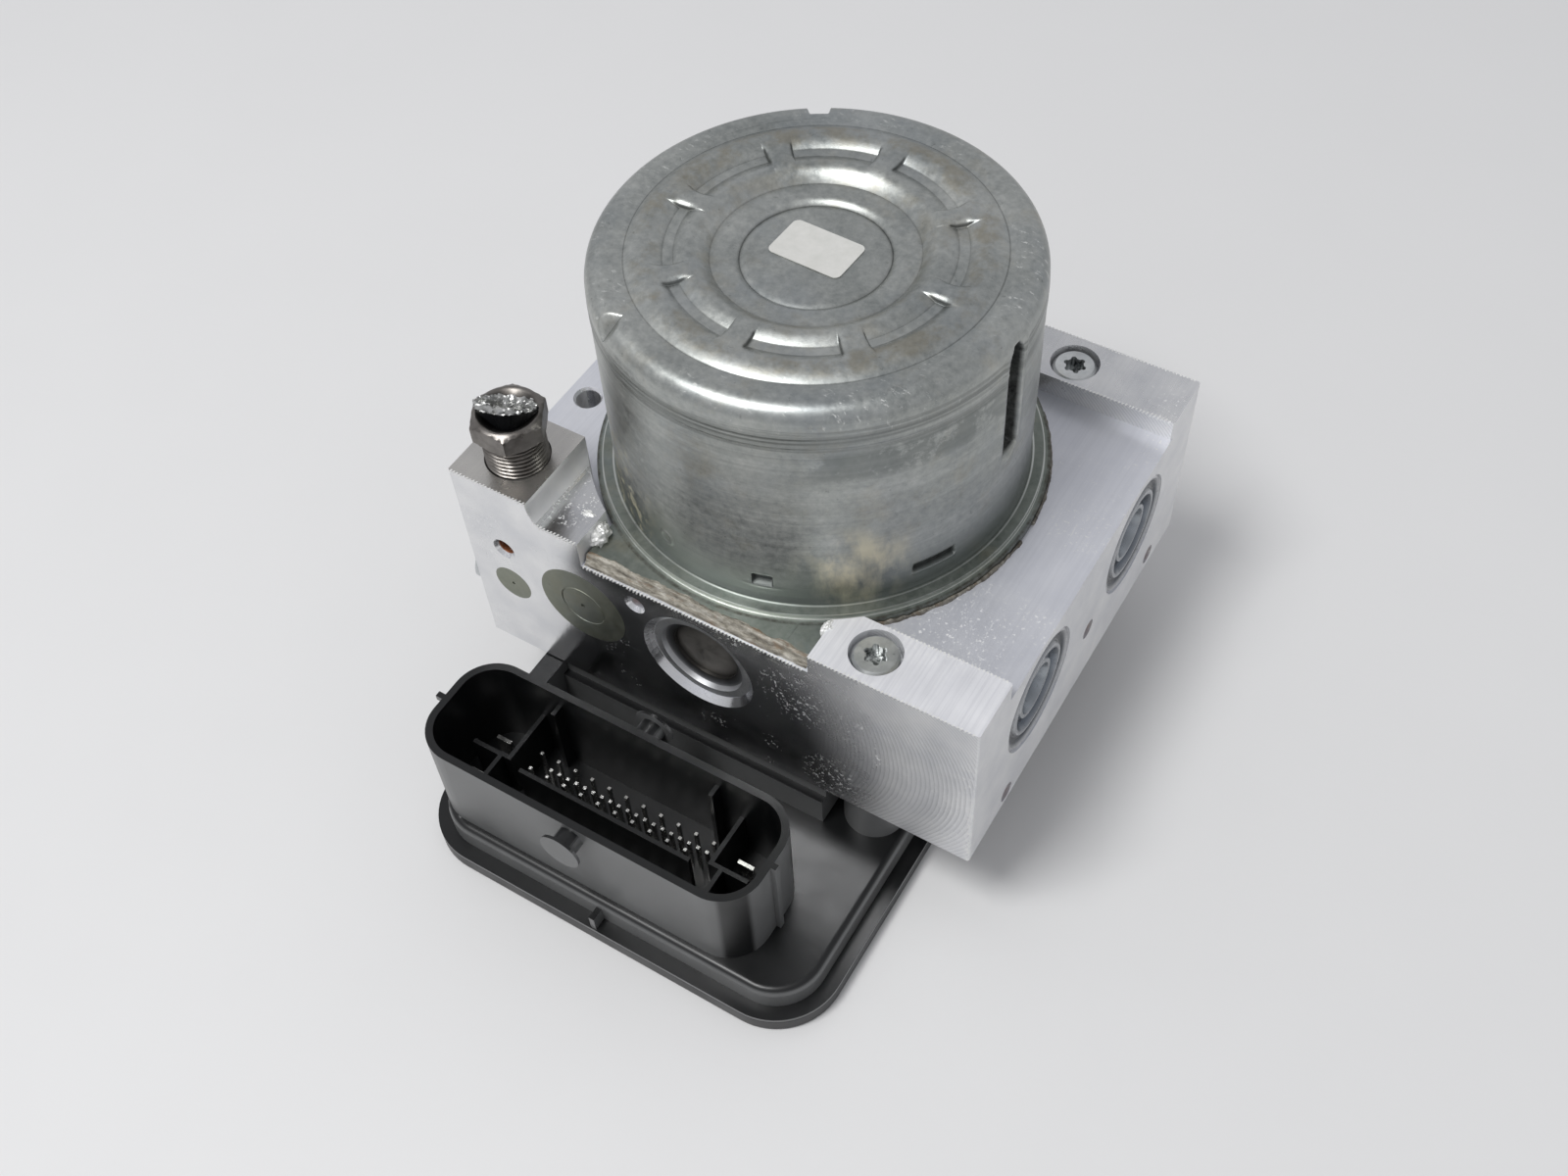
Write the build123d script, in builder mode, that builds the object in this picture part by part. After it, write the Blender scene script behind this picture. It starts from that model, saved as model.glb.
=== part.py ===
from build123d import *
import os
from math import cos, radians, sin

os.makedirs("parts", exist_ok=True)

# Anti-lock brake module standing on its control unit cover.
# Z = 0 is the underside of the cover, Z is the motor axis and Y is the axis of both pumps.
# The block's port face looks along -X, its accumulator face along +X, the connector lies at -Y.

# ---------------------------------------------------------------- clearances
slide_gap = 0.03  # radial, a piston or plunger in its bore
running_gap = 0.05  # radial, shafts and races
moving_gap = 0.4  # between a moving piece and what it must not touch
seat_gap = 0.1  # between pieces that stand side by side

# ---------------------------------------------------------------- hydraulic block
block_length = 110.0
block_width = 93.2
left_face = -52.6
right_face = left_face + block_length
back_face = block_width / 2
front_face = -back_face

deck_height = 9.7
block_standoff = 11.0
block_bottom = deck_height + block_standoff
recess_floor = block_bottom + 37.8
rail_top = block_bottom + 42.4
land_top = block_bottom + 43.8
pad_top = block_bottom + 49.0
edge_break = 0.3

pad_length = 17.7
pad_width = 19.0
cove_width = 2.1
land_length = 28.4
rail_length = 33.2
rail_width = 12.4

pump_height = block_bottom + 23.6
pump_lip_radius = 12.0
pump_bore_radius = 10.65
pump_lip_depth = 1.3
pump_plug_length = 7.0
pump_cylinder_radius = 7.9
pump_cylinder_inner_end = 14.0

accumulator_height = block_bottom + 23.45
accumulator_offset = 20.9
accumulator_rim_radius = 12.6
accumulator_rim_depth = 2.2
accumulator_bore_radius = 11.0
accumulator_depth = 25.0

inlet_x = left_face + 9.3
inlet_y = back_face - 9.3
inlet_tap_radius = 5.46
inlet_rim_radius = 6.3
inlet_depth = 16.0
outlet_height = block_bottom + 10.7
outlet_y = back_face - 9.75
outlet_tap_radius = 4.46
outlet_rim_radius = 5.2
outlet_depth = 13.0
port_seat_radius = 1.6
port_seat_depth = 3.0

bracket_x = left_face + 4.7
bracket_y = 10.8
bracket_tap_radius = 2.5
bracket_rim_radius = 3.0
bracket_depth = 11.0

screw_x = left_face + 86.65
screw_y = back_face - 6.7
screw_clearance_radius = 2.75
screw_sink_radius = 4.9
screw_sink_depth = 3.4
screw_shank_radius = 2.45
socket_radius = 1.75
socket_lobe_radius = 0.55
socket_depth = 2.2

# ---------------------------------------------------------------- motor
well_hub_radius = 11.0
well_hub_depth = 9.0
cavity_radius = 10.2
cavity_bottom = pump_height - 9.0
flange_left = left_face + land_length + 0.3
flange_rail_gap = 6.0
flange_right = right_face - rail_length - flange_rail_gap
flange_front_inset = 2.2
flange_plate_thickness = 1.7
can_radius = 39.6
collar_width = 2.7
collar_outer_radius = can_radius + collar_width
collar_height = 1.0
flange_margin = 1.1
flange_round_radius = collar_outer_radius + flange_margin
motor_well_gap = 1.1
motor_well_radius = flange_round_radius + motor_well_gap
can_wall = 1.6
can_top = block_bottom + 88.7
can_shoulder = 3.3
bead_inset = 7.0
bead_outer_radius = can_radius - bead_inset
bead_inner_radius = 20.0
bead_height = 0.8
dish_radius = 17.5
dish_depth = 1.7
boss_radius = 12.6
boss_drop = 0.5
slot_count = 8
slot_mid_radius = 25.0
slot_half_angle = 16.0
slot_width = 3.2
slot_depth = 0.7
slot_start_angle = 22.5
groove_angle = -4.0
groove_width = 4.2
groove_depth = 2.0
groove_bottom = block_bottom + 61.0
notch_angle = 119.5
window_angle = -75.0
lance_angle = -29.4

shaft_radius = 4.0
journal_radius = 3.0
eccentricity = 1.1
eccentric_radius = 5.0
needle_radius = 0.8
needle_count = 16
race_wall = 1.8
eccentric_half_height = 4.0

magnet_thickness = 5.4
air_gap = 0.8
armature_radius = can_radius - can_wall - magnet_thickness - air_gap
armature_bottom = recess_floor + 14.5
armature_length = 23.0
armature_top = armature_bottom + armature_length
armature_slots = 12
magnet_count = 4
commutator_radius = 9.0
contact_x = 20.0
contact_radius = 3.9
contact_pin_radius = 1.2
winding_overhang = 2.6
winding_inset = 2.3
winding_outer_radius = armature_radius - winding_inset
winding_inner_radius = 12.0

bush_radius = 7.0
bush_height = 5.0
cup_wall = 1.2
bearing_outer_radius = 9.5
bearing_width = 6.0
bearing_ball_radius = 1.6
bearing_ball_count = 8
race_thickness = 1.5

# ---------------------------------------------------------------- pumps and accumulators
pump_piston_radius = 4.0
pump_piston_length = 17.0
pump_spring_radius = 3.0
pump_wire_radius = 0.4
accumulator_piston_length = 9.0
accumulator_travel = 6.0
accumulator_spring_radius = 7.5
accumulator_wire_radius = 0.9

# ---------------------------------------------------------------- valves
valve_columns = (-31.0, -17.0)
valve_rows = (-33.0, -11.5, 11.5, 33.0)
valve_bore_radius = 4.0
valve_collar_radius = 5.0
valve_collar_height = 2.5
valve_depth = 14.0
dome_radius = 3.3
dome_wall = 0.4
dome_length = 11.5
plunger_stroke = 0.25
plunger_length = 9.0
coil_radius = 6.2
coil_height = 8.0
sensor_radius = 6.0
sensor_body_radius = 4.5
sensor_depth = 7.0

# ---------------------------------------------------------------- control unit
cover_height = 3.5
cover_floor = 1.6
ledge_thickness = 0.8
unit_left = left_face + 5.9
unit_right = left_face + 97.6
unit_front = front_face - 40.6
unit_back = back_face + 2.8
unit_corner = 13.5
body_inset = 3.0
body_corner = 10.1
body_wall = 1.8
body_edge = 1.6
roof_thickness = 2.0
board_bottom = 4.4
board_thickness = 1.6
tower_left = left_face + 13.1
tower_right = contact_x + 6.4
tower_front = front_face + 0.8
tower_back = back_face - 5.0
tower_wall = 2.0
gasket_thickness = 0.5
shroud_left = left_face + 8.6
shroud_right = left_face + 82.7
shroud_front = front_face - 35.6
shroud_back = front_face - 11.7
shroud_corner = 8.5
shroud_wall = 1.5
shroud_rim = block_bottom + 11.7
divider_top = block_bottom + 0.9
divider_wall = 0.9
pin_side = 0.64
pin_top = block_bottom - 3.0
pin_pitch = 4.05
guide_ribs = (shroud_left + 19.1, shroud_left + 55.4)
guide_depth = 2.5
guide_top = block_bottom + 8.3
key_rib_y = front_face - 23.8
hook_y = front_face - 23.9
front_rib_x = shroud_left + 42.2
screw_boss_radius = 6.2
board_post_rows = (-60.0, 0.0, 36.0)
board_post_radius = 2.5
screw_head_radius = 4.3
screw_head_height = 2.8
stud_x = shroud_left + 37.8
stud_z = block_bottom + 8.2
stud_height = 3.8
stud_radius = 2.6
stud_disc = 0.6
stud_disc_radius = 4.25

# ---------------------------------------------------------------- pipe nuts
hex_across_flats = 13.0
nut_thread_radius = 6.0
nut_thread_pitch = 1.0
nut_gap_under_hex = 6.9
hex_height = 4.9
hex_chamfer = 0.9
nut_rim_radius = 6.1
nut_mouth_depth = 1.7
nut_turn = 0.0
pipe_radius = 3.1
stub_rise = 1.3
stub_width = 11.8
stub_thickness = 3.4
stub_turn = 26.0
outlet_across_flats = 11.0
outlet_hex_height = 6.0
outlet_pipe_radius = 2.4
outlet_turn = 0.0

# ---------------------------------------------------------------- label and sealant
label_length = 14.5
label_width = 9.4
label_x = -0.6
label_y = 1.3
label_turn = -3.0
label_thickness = 0.15
bead_width = 1.4


def facing(x, y, z, direction):
    """Returns the plane whose +Z looks along direction from a point on a face."""
    return Plane(origin=(x, y, z), z_dir=direction)


def bore(place, *steps):
    """Cuts a stepped bore into the face that place lies on, each step a radius and a depth."""
    for radius, depth in steps:
        with Locations(place):
            Cylinder(radius, depth, align=(Align.CENTER, Align.CENTER, Align.MAX), mode=Mode.SUBTRACT)


def countersink(place, rim_radius, radius):
    """Cuts a 45 degree countersink from rim_radius down to radius."""
    with Locations(place):
        Cone(radius, rim_radius, rim_radius - radius,
             align=(Align.CENTER, Align.CENTER, Align.MAX), mode=Mode.SUBTRACT)


def rounded(left, right, front, back, corner):
    """Draws a rounded rectangle between four straight sides."""
    with Locations(((left + right) / 2, (front + back) / 2)):
        RectangleRounded(right - left, back - front, corner)


def box_between(left, right, front, back):
    """Draws a plain rectangle between four straight sides."""
    with Locations(((left + right) / 2, (front + back) / 2)):
        Rectangle(right - left, back - front)


def ring(outer, inner):
    """Draws a flat ring about the sketch's origin."""
    Circle(outer)
    Circle(inner, mode=Mode.SUBTRACT)


# ================================================================ hydraulic block
drop = land_top - recess_floor
pad_right = left_face + pad_length
land_right = left_face + land_length
rail_left = right_face - rail_length
port_planes = [facing(inlet_x, side * inlet_y, pad_top, (0, 0, 1)) for side in (-1, 1)]
outlet_spacing = outlet_y * 2 / 3
outlet_planes = [
    facing(left_face, -outlet_y + n * outlet_spacing, outlet_height, (-1, 0, 0)) for n in range(4)
]
screw_places = [(screw_x, side * screw_y) for side in (-1, 1)]

# small closed holes on the two pump faces, each x from the left face, height, radius and depth
cross_drilling = (9.25, 20.6, 4.2, 5.0)
large_plug = (26.6, 24.4, 9.6, 6.0)
ball_hole = (9.2, 31.1, 1.6, 6.0)
vent_hole = (39.7, 33.2, 1.4, 4.6)
# small plugs on the accumulator face, each y and height above the block's underside
side_plugs = ((1.8, 15.1), (-31.4, 2.9), (33.6, 3.6))
side_plug_radius = 2.1
side_plug_depth = 5.0

with BuildPart() as hydraulic_block:
    with BuildSketch(Plane.XY.offset(block_bottom)):
        box_between(left_face, right_face, front_face, back_face)
    extrude(amount=recess_floor - block_bottom)
    for start in (front_face, back_face - pad_width):
        with BuildSketch(Plane.XZ.offset(-start)):
            with BuildLine():
                Polyline((left_face, recess_floor), (left_face, pad_top), (pad_right, pad_top))
                ThreePointArc(
                    (pad_right, pad_top),
                    (pad_right + cove_width * 0.25, (pad_top + land_top) / 2 - 0.5),
                    (pad_right + cove_width, land_top),
                )
                Polyline(
                    (pad_right + cove_width, land_top),
                    (land_right, land_top),
                    (land_right, recess_floor),
                    (left_face, recess_floor),
                )
            make_face()
        extrude(amount=-pad_width)
    for side in (-1, 1):
        with BuildSketch(Plane.XY.offset(recess_floor)):
            with Locations((right_face - rail_length / 2, side * (back_face - rail_width / 2))):
                Rectangle(rail_length, rail_width)
        extrude(amount=rail_top - recess_floor)
    with BuildSketch(Plane.XY.offset(recess_floor)):
        Circle(motor_well_radius)
    extrude(amount=pad_top - recess_floor, mode=Mode.SUBTRACT)
    chamfer(hydraulic_block.edges().filter_by(Axis.Z).group_by(Axis.X)[0], edge_break)
    chamfer(hydraulic_block.edges().filter_by(Axis.Z).group_by(Axis.X)[-1], edge_break)

    # motor well, eccentric cavity and the two pump bores
    bore(facing(0, 0, recess_floor, (0, 0, 1)), (well_hub_radius, well_hub_depth),
         (cavity_radius, recess_floor - cavity_bottom))
    bore(facing(contact_x, 0, recess_floor, (0, 0, 1)), (contact_radius, recess_floor - block_bottom))
    for side in (-1, 1):
        pump_plane = facing(0, side * back_face, pump_height, (0, side, 0))
        countersink(pump_plane, pump_lip_radius, pump_bore_radius)
        bore(pump_plane, (pump_bore_radius, pump_plug_length),
             (pump_cylinder_radius, back_face - pump_cylinder_inner_end),
             (pump_piston_radius + moving_gap, back_face - cavity_radius / 2))

    # accumulator bores
    for side in (-1, 1):
        chamber = facing(right_face, side * accumulator_offset, accumulator_height, (1, 0, 0))
        bore(chamber, (accumulator_rim_radius, accumulator_rim_depth),
             (accumulator_bore_radius, accumulator_depth))

    # brake pipe ports
    for place in port_planes:
        countersink(place, inlet_rim_radius, inlet_tap_radius)
        bore(place, (inlet_tap_radius, inlet_depth), (port_seat_radius, inlet_depth + port_seat_depth))
    for place in outlet_planes:
        countersink(place, outlet_rim_radius, outlet_tap_radius)
        bore(place, (outlet_tap_radius, outlet_depth), (port_seat_radius, outlet_depth + port_seat_depth))

    # tapped bracket holes beside the motor
    for side in (-1, 1):
        bracket_place = facing(bracket_x, side * bracket_y, recess_floor, (0, 0, 1))
        countersink(bracket_place, bracket_rim_radius, bracket_tap_radius)
        bore(bracket_place, (bracket_tap_radius, bracket_depth), (1.2, bracket_depth + 2.0))

    # clearance holes of the control unit screws
    for x, y in screw_places:
        bore(facing(x, y, rail_top, (0, 0, 1)), (screw_sink_radius, screw_sink_depth),
             (screw_clearance_radius, rail_top - block_bottom))

    # plugged drillings on the pump faces
    for side in (-1, 1):
        for x, height, radius, depth in (cross_drilling, large_plug, ball_hole, vent_hole):
            bore(facing(left_face + x, side * back_face, block_bottom + height, (0, side, 0)),
                 (radius, depth))
        for x, height, radius, rim in ((*ball_hole[:3], 2.5), (*vent_hole[:3], 2.2)):
            countersink(facing(left_face + x, side * back_face, block_bottom + height, (0, side, 0)),
                        rim, radius)
    for y, height in side_plugs:
        bore(facing(right_face, y, block_bottom + height, (1, 0, 0)), (side_plug_radius, side_plug_depth))

    # valve bores and the pressure sensor's bore from below
    for x in valve_columns:
        for y in valve_rows:
            bore(facing(x, y, block_bottom, (0, 0, -1)), (valve_collar_radius, valve_collar_height),
                 (valve_bore_radius, valve_depth))
    bore(facing(0, 0, block_bottom, (0, 0, -1)), (sensor_radius, sensor_depth))
hydraulic_block.part.label = "hydraulic_block"
export_step(hydraulic_block.part, "parts/hydraulic_block.step")

# ================================================================ plugs in the block
with BuildPart() as large_plugs:
    for side in (-1, 1):
        x, height, radius, depth = large_plug
        place = facing(left_face + x, side * back_face, block_bottom + height, (0, side, 0))
        with Locations(place):
            Cylinder(radius, depth, align=(Align.CENTER, Align.CENTER, Align.MAX))
        bore(place, (0.5, 0.5))
        with Locations(place):
            Torus(radius / 2, 0.16, mode=Mode.SUBTRACT)
large_plugs.part.label = "large_plugs"
export_step(large_plugs.part, "parts/large_plugs.step")

with BuildPart() as small_plugs:
    for side in (-1, 1):
        x, height, radius, depth = cross_drilling
        place = facing(left_face + x, side * back_face, block_bottom + height, (0, side, 0))
        with Locations(place):
            Cylinder(radius, depth, align=(Align.CENTER, Align.CENTER, Align.MAX))
        bore(place, (0.35, 0.3))
small_plugs.part.label = "small_plugs"
export_step(small_plugs.part, "parts/small_plugs.step")

with BuildPart() as sealing_balls:
    for side in (-1, 1):
        for x, height, radius, depth in (ball_hole, vent_hole):
            with Locations((left_face + x, side * (back_face - depth + radius), block_bottom + height)):
                Sphere(radius)
    for y, height in side_plugs:
        with Locations((right_face - side_plug_depth + side_plug_radius, y, block_bottom + height)):
            Sphere(side_plug_radius)
sealing_balls.part.label = "sealing_balls"
export_step(sealing_balls.part, "parts/sealing_balls.step")

# ================================================================ pumps
plug_face = back_face - pump_lip_depth
plug_bottom = back_face - pump_plug_length
cylinder_outer_end = plug_bottom
race_outer_radius = eccentric_radius + 2 * needle_radius + 2 * running_gap + race_wall
pump_stroke = 2 * eccentricity
piston_foot = race_outer_radius + eccentricity + pump_stroke / 2 + 2 * running_gap
piston_head = piston_foot + pump_piston_length
spring_room = plug_bottom - 1.5 - piston_head

pump_sides = (("front", -1), ("back", 1))
for name, side in pump_sides:
    with BuildPart() as pump_plug:
        with BuildSketch(Plane.XY.offset(pump_height)):
            with BuildLine():
                Polyline(
                    (0, side * (plug_face - 2.0)),
                    (6.9, side * (plug_face - 2.0)),
                    (6.9, side * (plug_face - 1.4)),
                    (8.6, side * (plug_face - 1.0)),
                    (8.9, side * plug_face),
                    (pump_bore_radius - 0.25, side * plug_face),
                    (pump_bore_radius, side * (plug_face - 0.25)),
                    (pump_bore_radius, side * plug_bottom),
                    (0, side * plug_bottom),
                    close=True,
                )
            make_face()
        revolve(axis=Axis((0, 0, pump_height), (0, 1, 0)))
    pump_plug.part.label = f"pump_plug_{name}"
    export_step(pump_plug.part, f"parts/pump_plug_{name}.step")

    with BuildPart() as pump_cylinder:
        with BuildSketch(Plane.XY.offset(pump_height)):
            with BuildLine():
                Polyline(
                    (pump_piston_radius + slide_gap, side * pump_cylinder_inner_end),
                    (pump_cylinder_radius, side * pump_cylinder_inner_end),
                    (pump_cylinder_radius, side * cylinder_outer_end),
                    (0, side * cylinder_outer_end),
                    (0, side * (cylinder_outer_end - 1.5)),
                    (pump_piston_radius + slide_gap, side * (cylinder_outer_end - 1.5)),
                    close=True,
                )
            make_face()
        revolve(axis=Axis((0, 0, pump_height), (0, 1, 0)))
    pump_cylinder.part.label = f"pump_cylinder_{name}"
    export_step(pump_cylinder.part, f"parts/pump_cylinder_{name}.step")

    with BuildPart() as pump_piston:
        with BuildSketch(Plane.XY.offset(pump_height)):
            with BuildLine():
                Polyline(
                    (0, side * piston_foot),
                    (pump_piston_radius - 0.5, side * piston_foot),
                    (pump_piston_radius, side * (piston_foot + 0.5)),
                    (pump_piston_radius, side * piston_head),
                    (pump_wire_radius, side * piston_head),
                    (pump_wire_radius, side * (piston_head - 6.0)),
                    (0, side * (piston_head - 6.0)),
                    close=True,
                )
            make_face()
        revolve(axis=Axis((0, 0, pump_height), (0, 1, 0)))
    pump_piston.part.label = f"pump_piston_{name}"
    export_step(pump_piston.part, f"parts/pump_piston_{name}.step")

    with BuildPart() as pump_spring:
        with BuildLine() as coil:
            Helix(
                pitch=(spring_room - 2.2 * pump_wire_radius) / 4,
                height=spring_room - 2.2 * pump_wire_radius,
                radius=pump_spring_radius,
                center=(0, side * (piston_head + 1.1 * pump_wire_radius), pump_height),
                direction=(0, side, 0),
            )
        with BuildSketch(coil.line ^ 0):
            Circle(pump_wire_radius)
        sweep(is_frenet=True)
    pump_spring.part.label = f"pump_spring_{name}"
    export_step(pump_spring.part, f"parts/pump_spring_{name}.step")

# ================================================================ accumulators
chamber_end = right_face - accumulator_depth
cap_back = right_face - 5.0
piston_start = chamber_end + seat_gap
piston_end = piston_start + accumulator_piston_length
for name, side in (("near", -1), ("far", 1)):
    centre_y = side * accumulator_offset
    axis = Axis((0, centre_y, accumulator_height), (1, 0, 0))

    with BuildPart() as accumulator_cap:
        with BuildSketch(Plane.XY.offset(accumulator_height)):
            with BuildLine():
                Polyline(
                    (cap_back, centre_y),
                    (cap_back, centre_y + accumulator_bore_radius),
                    (right_face - accumulator_rim_depth, centre_y + accumulator_bore_radius),
                    (right_face - accumulator_rim_depth, centre_y + accumulator_rim_radius),
                    (right_face - 0.6, centre_y + accumulator_rim_radius),
                    (right_face - 0.2, centre_y + accumulator_rim_radius - 0.8),
                    (right_face - 0.9, centre_y + 10.6),
                    (right_face - 0.9, centre_y + 9.6),
                    (right_face - 0.3, centre_y + 9.2),
                    (right_face - 0.3, centre_y + 8.4),
                    (right_face - 1.6, centre_y + 7.8),
                    (right_face - 1.6, centre_y + 6.4),
                    (right_face - 0.8, centre_y + 6.0),
                    (right_face - 0.8, centre_y + 5.2),
                    (right_face - 2.6, centre_y + 4.6),
                    (right_face - 2.6, centre_y),
                    close=True,
                )
            make_face()
        revolve(axis=axis)
    accumulator_cap.part.label = f"accumulator_cap_{name}"
    export_step(accumulator_cap.part, f"parts/accumulator_cap_{name}.step")

    with BuildPart() as accumulator_piston:
        with BuildSketch(Plane.XY.offset(accumulator_height)):
            with BuildLine():
                Polyline(
                    (piston_start, centre_y),
                    (piston_start, centre_y + accumulator_bore_radius - slide_gap),
                    (piston_end, centre_y + accumulator_bore_radius - slide_gap),
                    (piston_end, centre_y + accumulator_spring_radius + 1.6),
                    (piston_start + 2.4, centre_y + accumulator_spring_radius + 1.6),
                    (piston_start + 2.4, centre_y),
                    close=True,
                )
            make_face()
        revolve(axis=axis)
    accumulator_piston.part.label = f"accumulator_piston_{name}"
    export_step(accumulator_piston.part, f"parts/accumulator_piston_{name}.step")

    coil_start = piston_start + 2.4 + 1.1 * accumulator_wire_radius
    coil_length = cap_back - coil_start - 1.1 * accumulator_wire_radius
    with BuildPart() as accumulator_spring:
        with BuildLine() as coil:
            Helix(
                pitch=coil_length / 4,
                height=coil_length,
                radius=accumulator_spring_radius,
                center=(coil_start, centre_y, accumulator_height),
                direction=(1, 0, 0),
            )
        with BuildSketch(coil.line ^ 0):
            Circle(accumulator_wire_radius)
        sweep(is_frenet=True)
    accumulator_spring.part.label = f"accumulator_spring_{name}"
    export_step(accumulator_spring.part, f"parts/accumulator_spring_{name}.step")

# ================================================================ motor casing
plate_top = recess_floor + flange_plate_thickness
flange_front = back_face - flange_front_inset
with BuildPart() as motor_flange:
    with BuildSketch(Plane.XY.offset(recess_floor)):
        Circle(flange_round_radius)
        box_between(flange_left, flange_right, -flange_front, flange_front)
        Rectangle(2 * block_length, 2 * flange_front, mode=Mode.INTERSECT)
        Circle(bearing_outer_radius + 0.02, mode=Mode.SUBTRACT)
    extrude(amount=flange_plate_thickness)
    with BuildSketch(Plane.XY.offset(plate_top)):
        ring(collar_outer_radius, can_radius + 0.02)
    extrude(amount=collar_height)
    with BuildSketch(Plane.XY.offset(recess_floor)):
        ring(well_hub_radius, bearing_outer_radius + 0.02)
    extrude(amount=-well_hub_depth + 1.0)
    with BuildSketch(Plane.XY.offset(recess_floor - well_hub_depth + 1.0)):
        ring(well_hub_radius, bearing_outer_radius - 2.0)
    extrude(amount=1.0)
    with Locations((contact_x, 0, recess_floor)):
        Cylinder(contact_radius, 2 * flange_plate_thickness + 1, mode=Mode.SUBTRACT)
motor_flange.part.label = "motor_flange"
export_step(motor_flange.part, "parts/motor_flange.step")

can_inner = can_radius - can_wall
dish_floor = can_top - dish_depth
boss_floor = dish_floor - boss_drop
ceiling = boss_floor - can_wall
with BuildPart() as motor_can:
    with BuildSketch(Plane.XZ):
        with BuildLine():
            Polyline((can_radius, plate_top), (can_radius, can_top - can_shoulder))
            RadiusArc((can_radius, can_top - can_shoulder), (can_radius - can_shoulder, can_top), -can_shoulder)
            Polyline(
                (can_radius - can_shoulder, can_top),
                (bead_outer_radius, can_top),
                (bead_outer_radius - 2.2, can_top + bead_height),
                (bead_outer_radius - 3.2, can_top + bead_height),
                (bead_outer_radius - 4.4, can_top),
                (bead_inner_radius + 3.0, can_top),
                (bead_inner_radius + 1.6, can_top + bead_height / 2),
                (bead_inner_radius, can_top),
                (dish_radius, dish_floor),
                (boss_radius + 0.4, dish_floor),
                (boss_radius, boss_floor),
                (0, boss_floor),
                (0, ceiling),
                (boss_radius, ceiling),
                (dish_radius + 1.0, ceiling),
                (bead_inner_radius + 1.0, can_top - can_wall),
                (can_inner - can_shoulder + can_wall, can_top - can_wall),
            )
            RadiusArc((can_inner - can_shoulder + can_wall, can_top - can_wall),
                      (can_inner, can_top - can_shoulder), can_shoulder - can_wall)
            Polyline((can_inner, can_top - can_shoulder), (can_inner, plate_top), (can_radius, plate_top))
        make_face()
    revolve(axis=Axis.Z)
    with BuildSketch(Plane.XY.offset(can_top - slot_depth)):
        with PolarLocations(0, slot_count, start_angle=slot_start_angle):
            SlotArc(
                CenterArc((0, 0), slot_mid_radius, -slot_half_angle, 2 * slot_half_angle),
                slot_width,
            )
    extrude(amount=3 * slot_depth, mode=Mode.SUBTRACT)
    # groove pressed into the wall from the shoulder down, with the wall carried round behind it
    groove_wall_plane = Plane.XY.offset(groove_bottom - can_wall).rotated((0, 0, groove_angle))
    with BuildSketch(groove_wall_plane):
        with Locations((can_radius - (groove_depth + can_wall) / 2, 0)):
            Rectangle(groove_depth + can_wall, groove_width + 2 * can_wall)
        Circle(can_radius - 0.5 * can_wall, mode=Mode.INTERSECT)
    extrude(amount=can_top - can_wall - groove_bottom + can_wall)
    with BuildSketch(Plane.XY.offset(groove_bottom).rotated((0, 0, groove_angle))):
        with Locations((can_radius - groove_depth / 2 + 1.0, 0)):
            Rectangle(groove_depth + 2.0, groove_width)
    extrude(amount=can_top - groove_bottom + 1.0, mode=Mode.SUBTRACT)
    # notch in the rim, window and lanced slot low in the wall
    for angle, low, high, width, depth in (
        (notch_angle, can_top - 1.4, can_top + 1.0, 4.2, 1.6),
        (window_angle, block_bottom + 44.6, block_bottom + 47.0, 3.6, 3.0),
        (lance_angle, block_bottom + 44.8, block_bottom + 45.9, 8.5, 3.0),
    ):
        with BuildSketch(Plane.XY.offset(low).rotated((0, 0, angle))):
            with Locations((can_radius, 0)):
                Rectangle(2 * depth, width)
        extrude(amount=high - low, mode=Mode.SUBTRACT)
motor_can.part.label = "motor_can"
export_step(motor_can.part, "parts/motor_can.step")

magnet_outer = can_inner
magnet_inner = can_inner - magnet_thickness
with BuildPart() as motor_magnets:
    with BuildSketch(Plane.XY.offset(armature_bottom - 1.5)):
        ring(magnet_outer, magnet_inner)
        with PolarLocations(magnet_outer - magnet_thickness / 2, magnet_count, start_angle=groove_angle):
            Rectangle(3 * magnet_thickness, groove_width + 2 * can_wall + 1.0, mode=Mode.SUBTRACT)
    extrude(amount=armature_top - armature_bottom + 3.0)
motor_magnets.part.label = "motor_magnets"
export_step(motor_magnets.part, "parts/motor_magnets.step")

with BuildPart() as upper_bearing_cup:
    with BuildSketch(Plane.XY.offset(ceiling - bush_height)):
        ring(bush_radius + cup_wall, bush_radius)
    extrude(amount=bush_height)
    with BuildSketch(Plane.XY.offset(ceiling - 0.8)):
        ring(boss_radius - 0.5, bush_radius)
    extrude(amount=0.8)
upper_bearing_cup.part.label = "upper_bearing_cup"
export_step(upper_bearing_cup.part, "parts/upper_bearing_cup.step")

with BuildPart() as upper_bush:
    with BuildSketch(Plane.XY.offset(ceiling - bush_height)):
        ring(bush_radius, journal_radius + running_gap)
    extrude(amount=bush_height - 0.2)
upper_bush.part.label = "upper_bush"
export_step(upper_bush.part, "parts/upper_bush.step")

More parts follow.
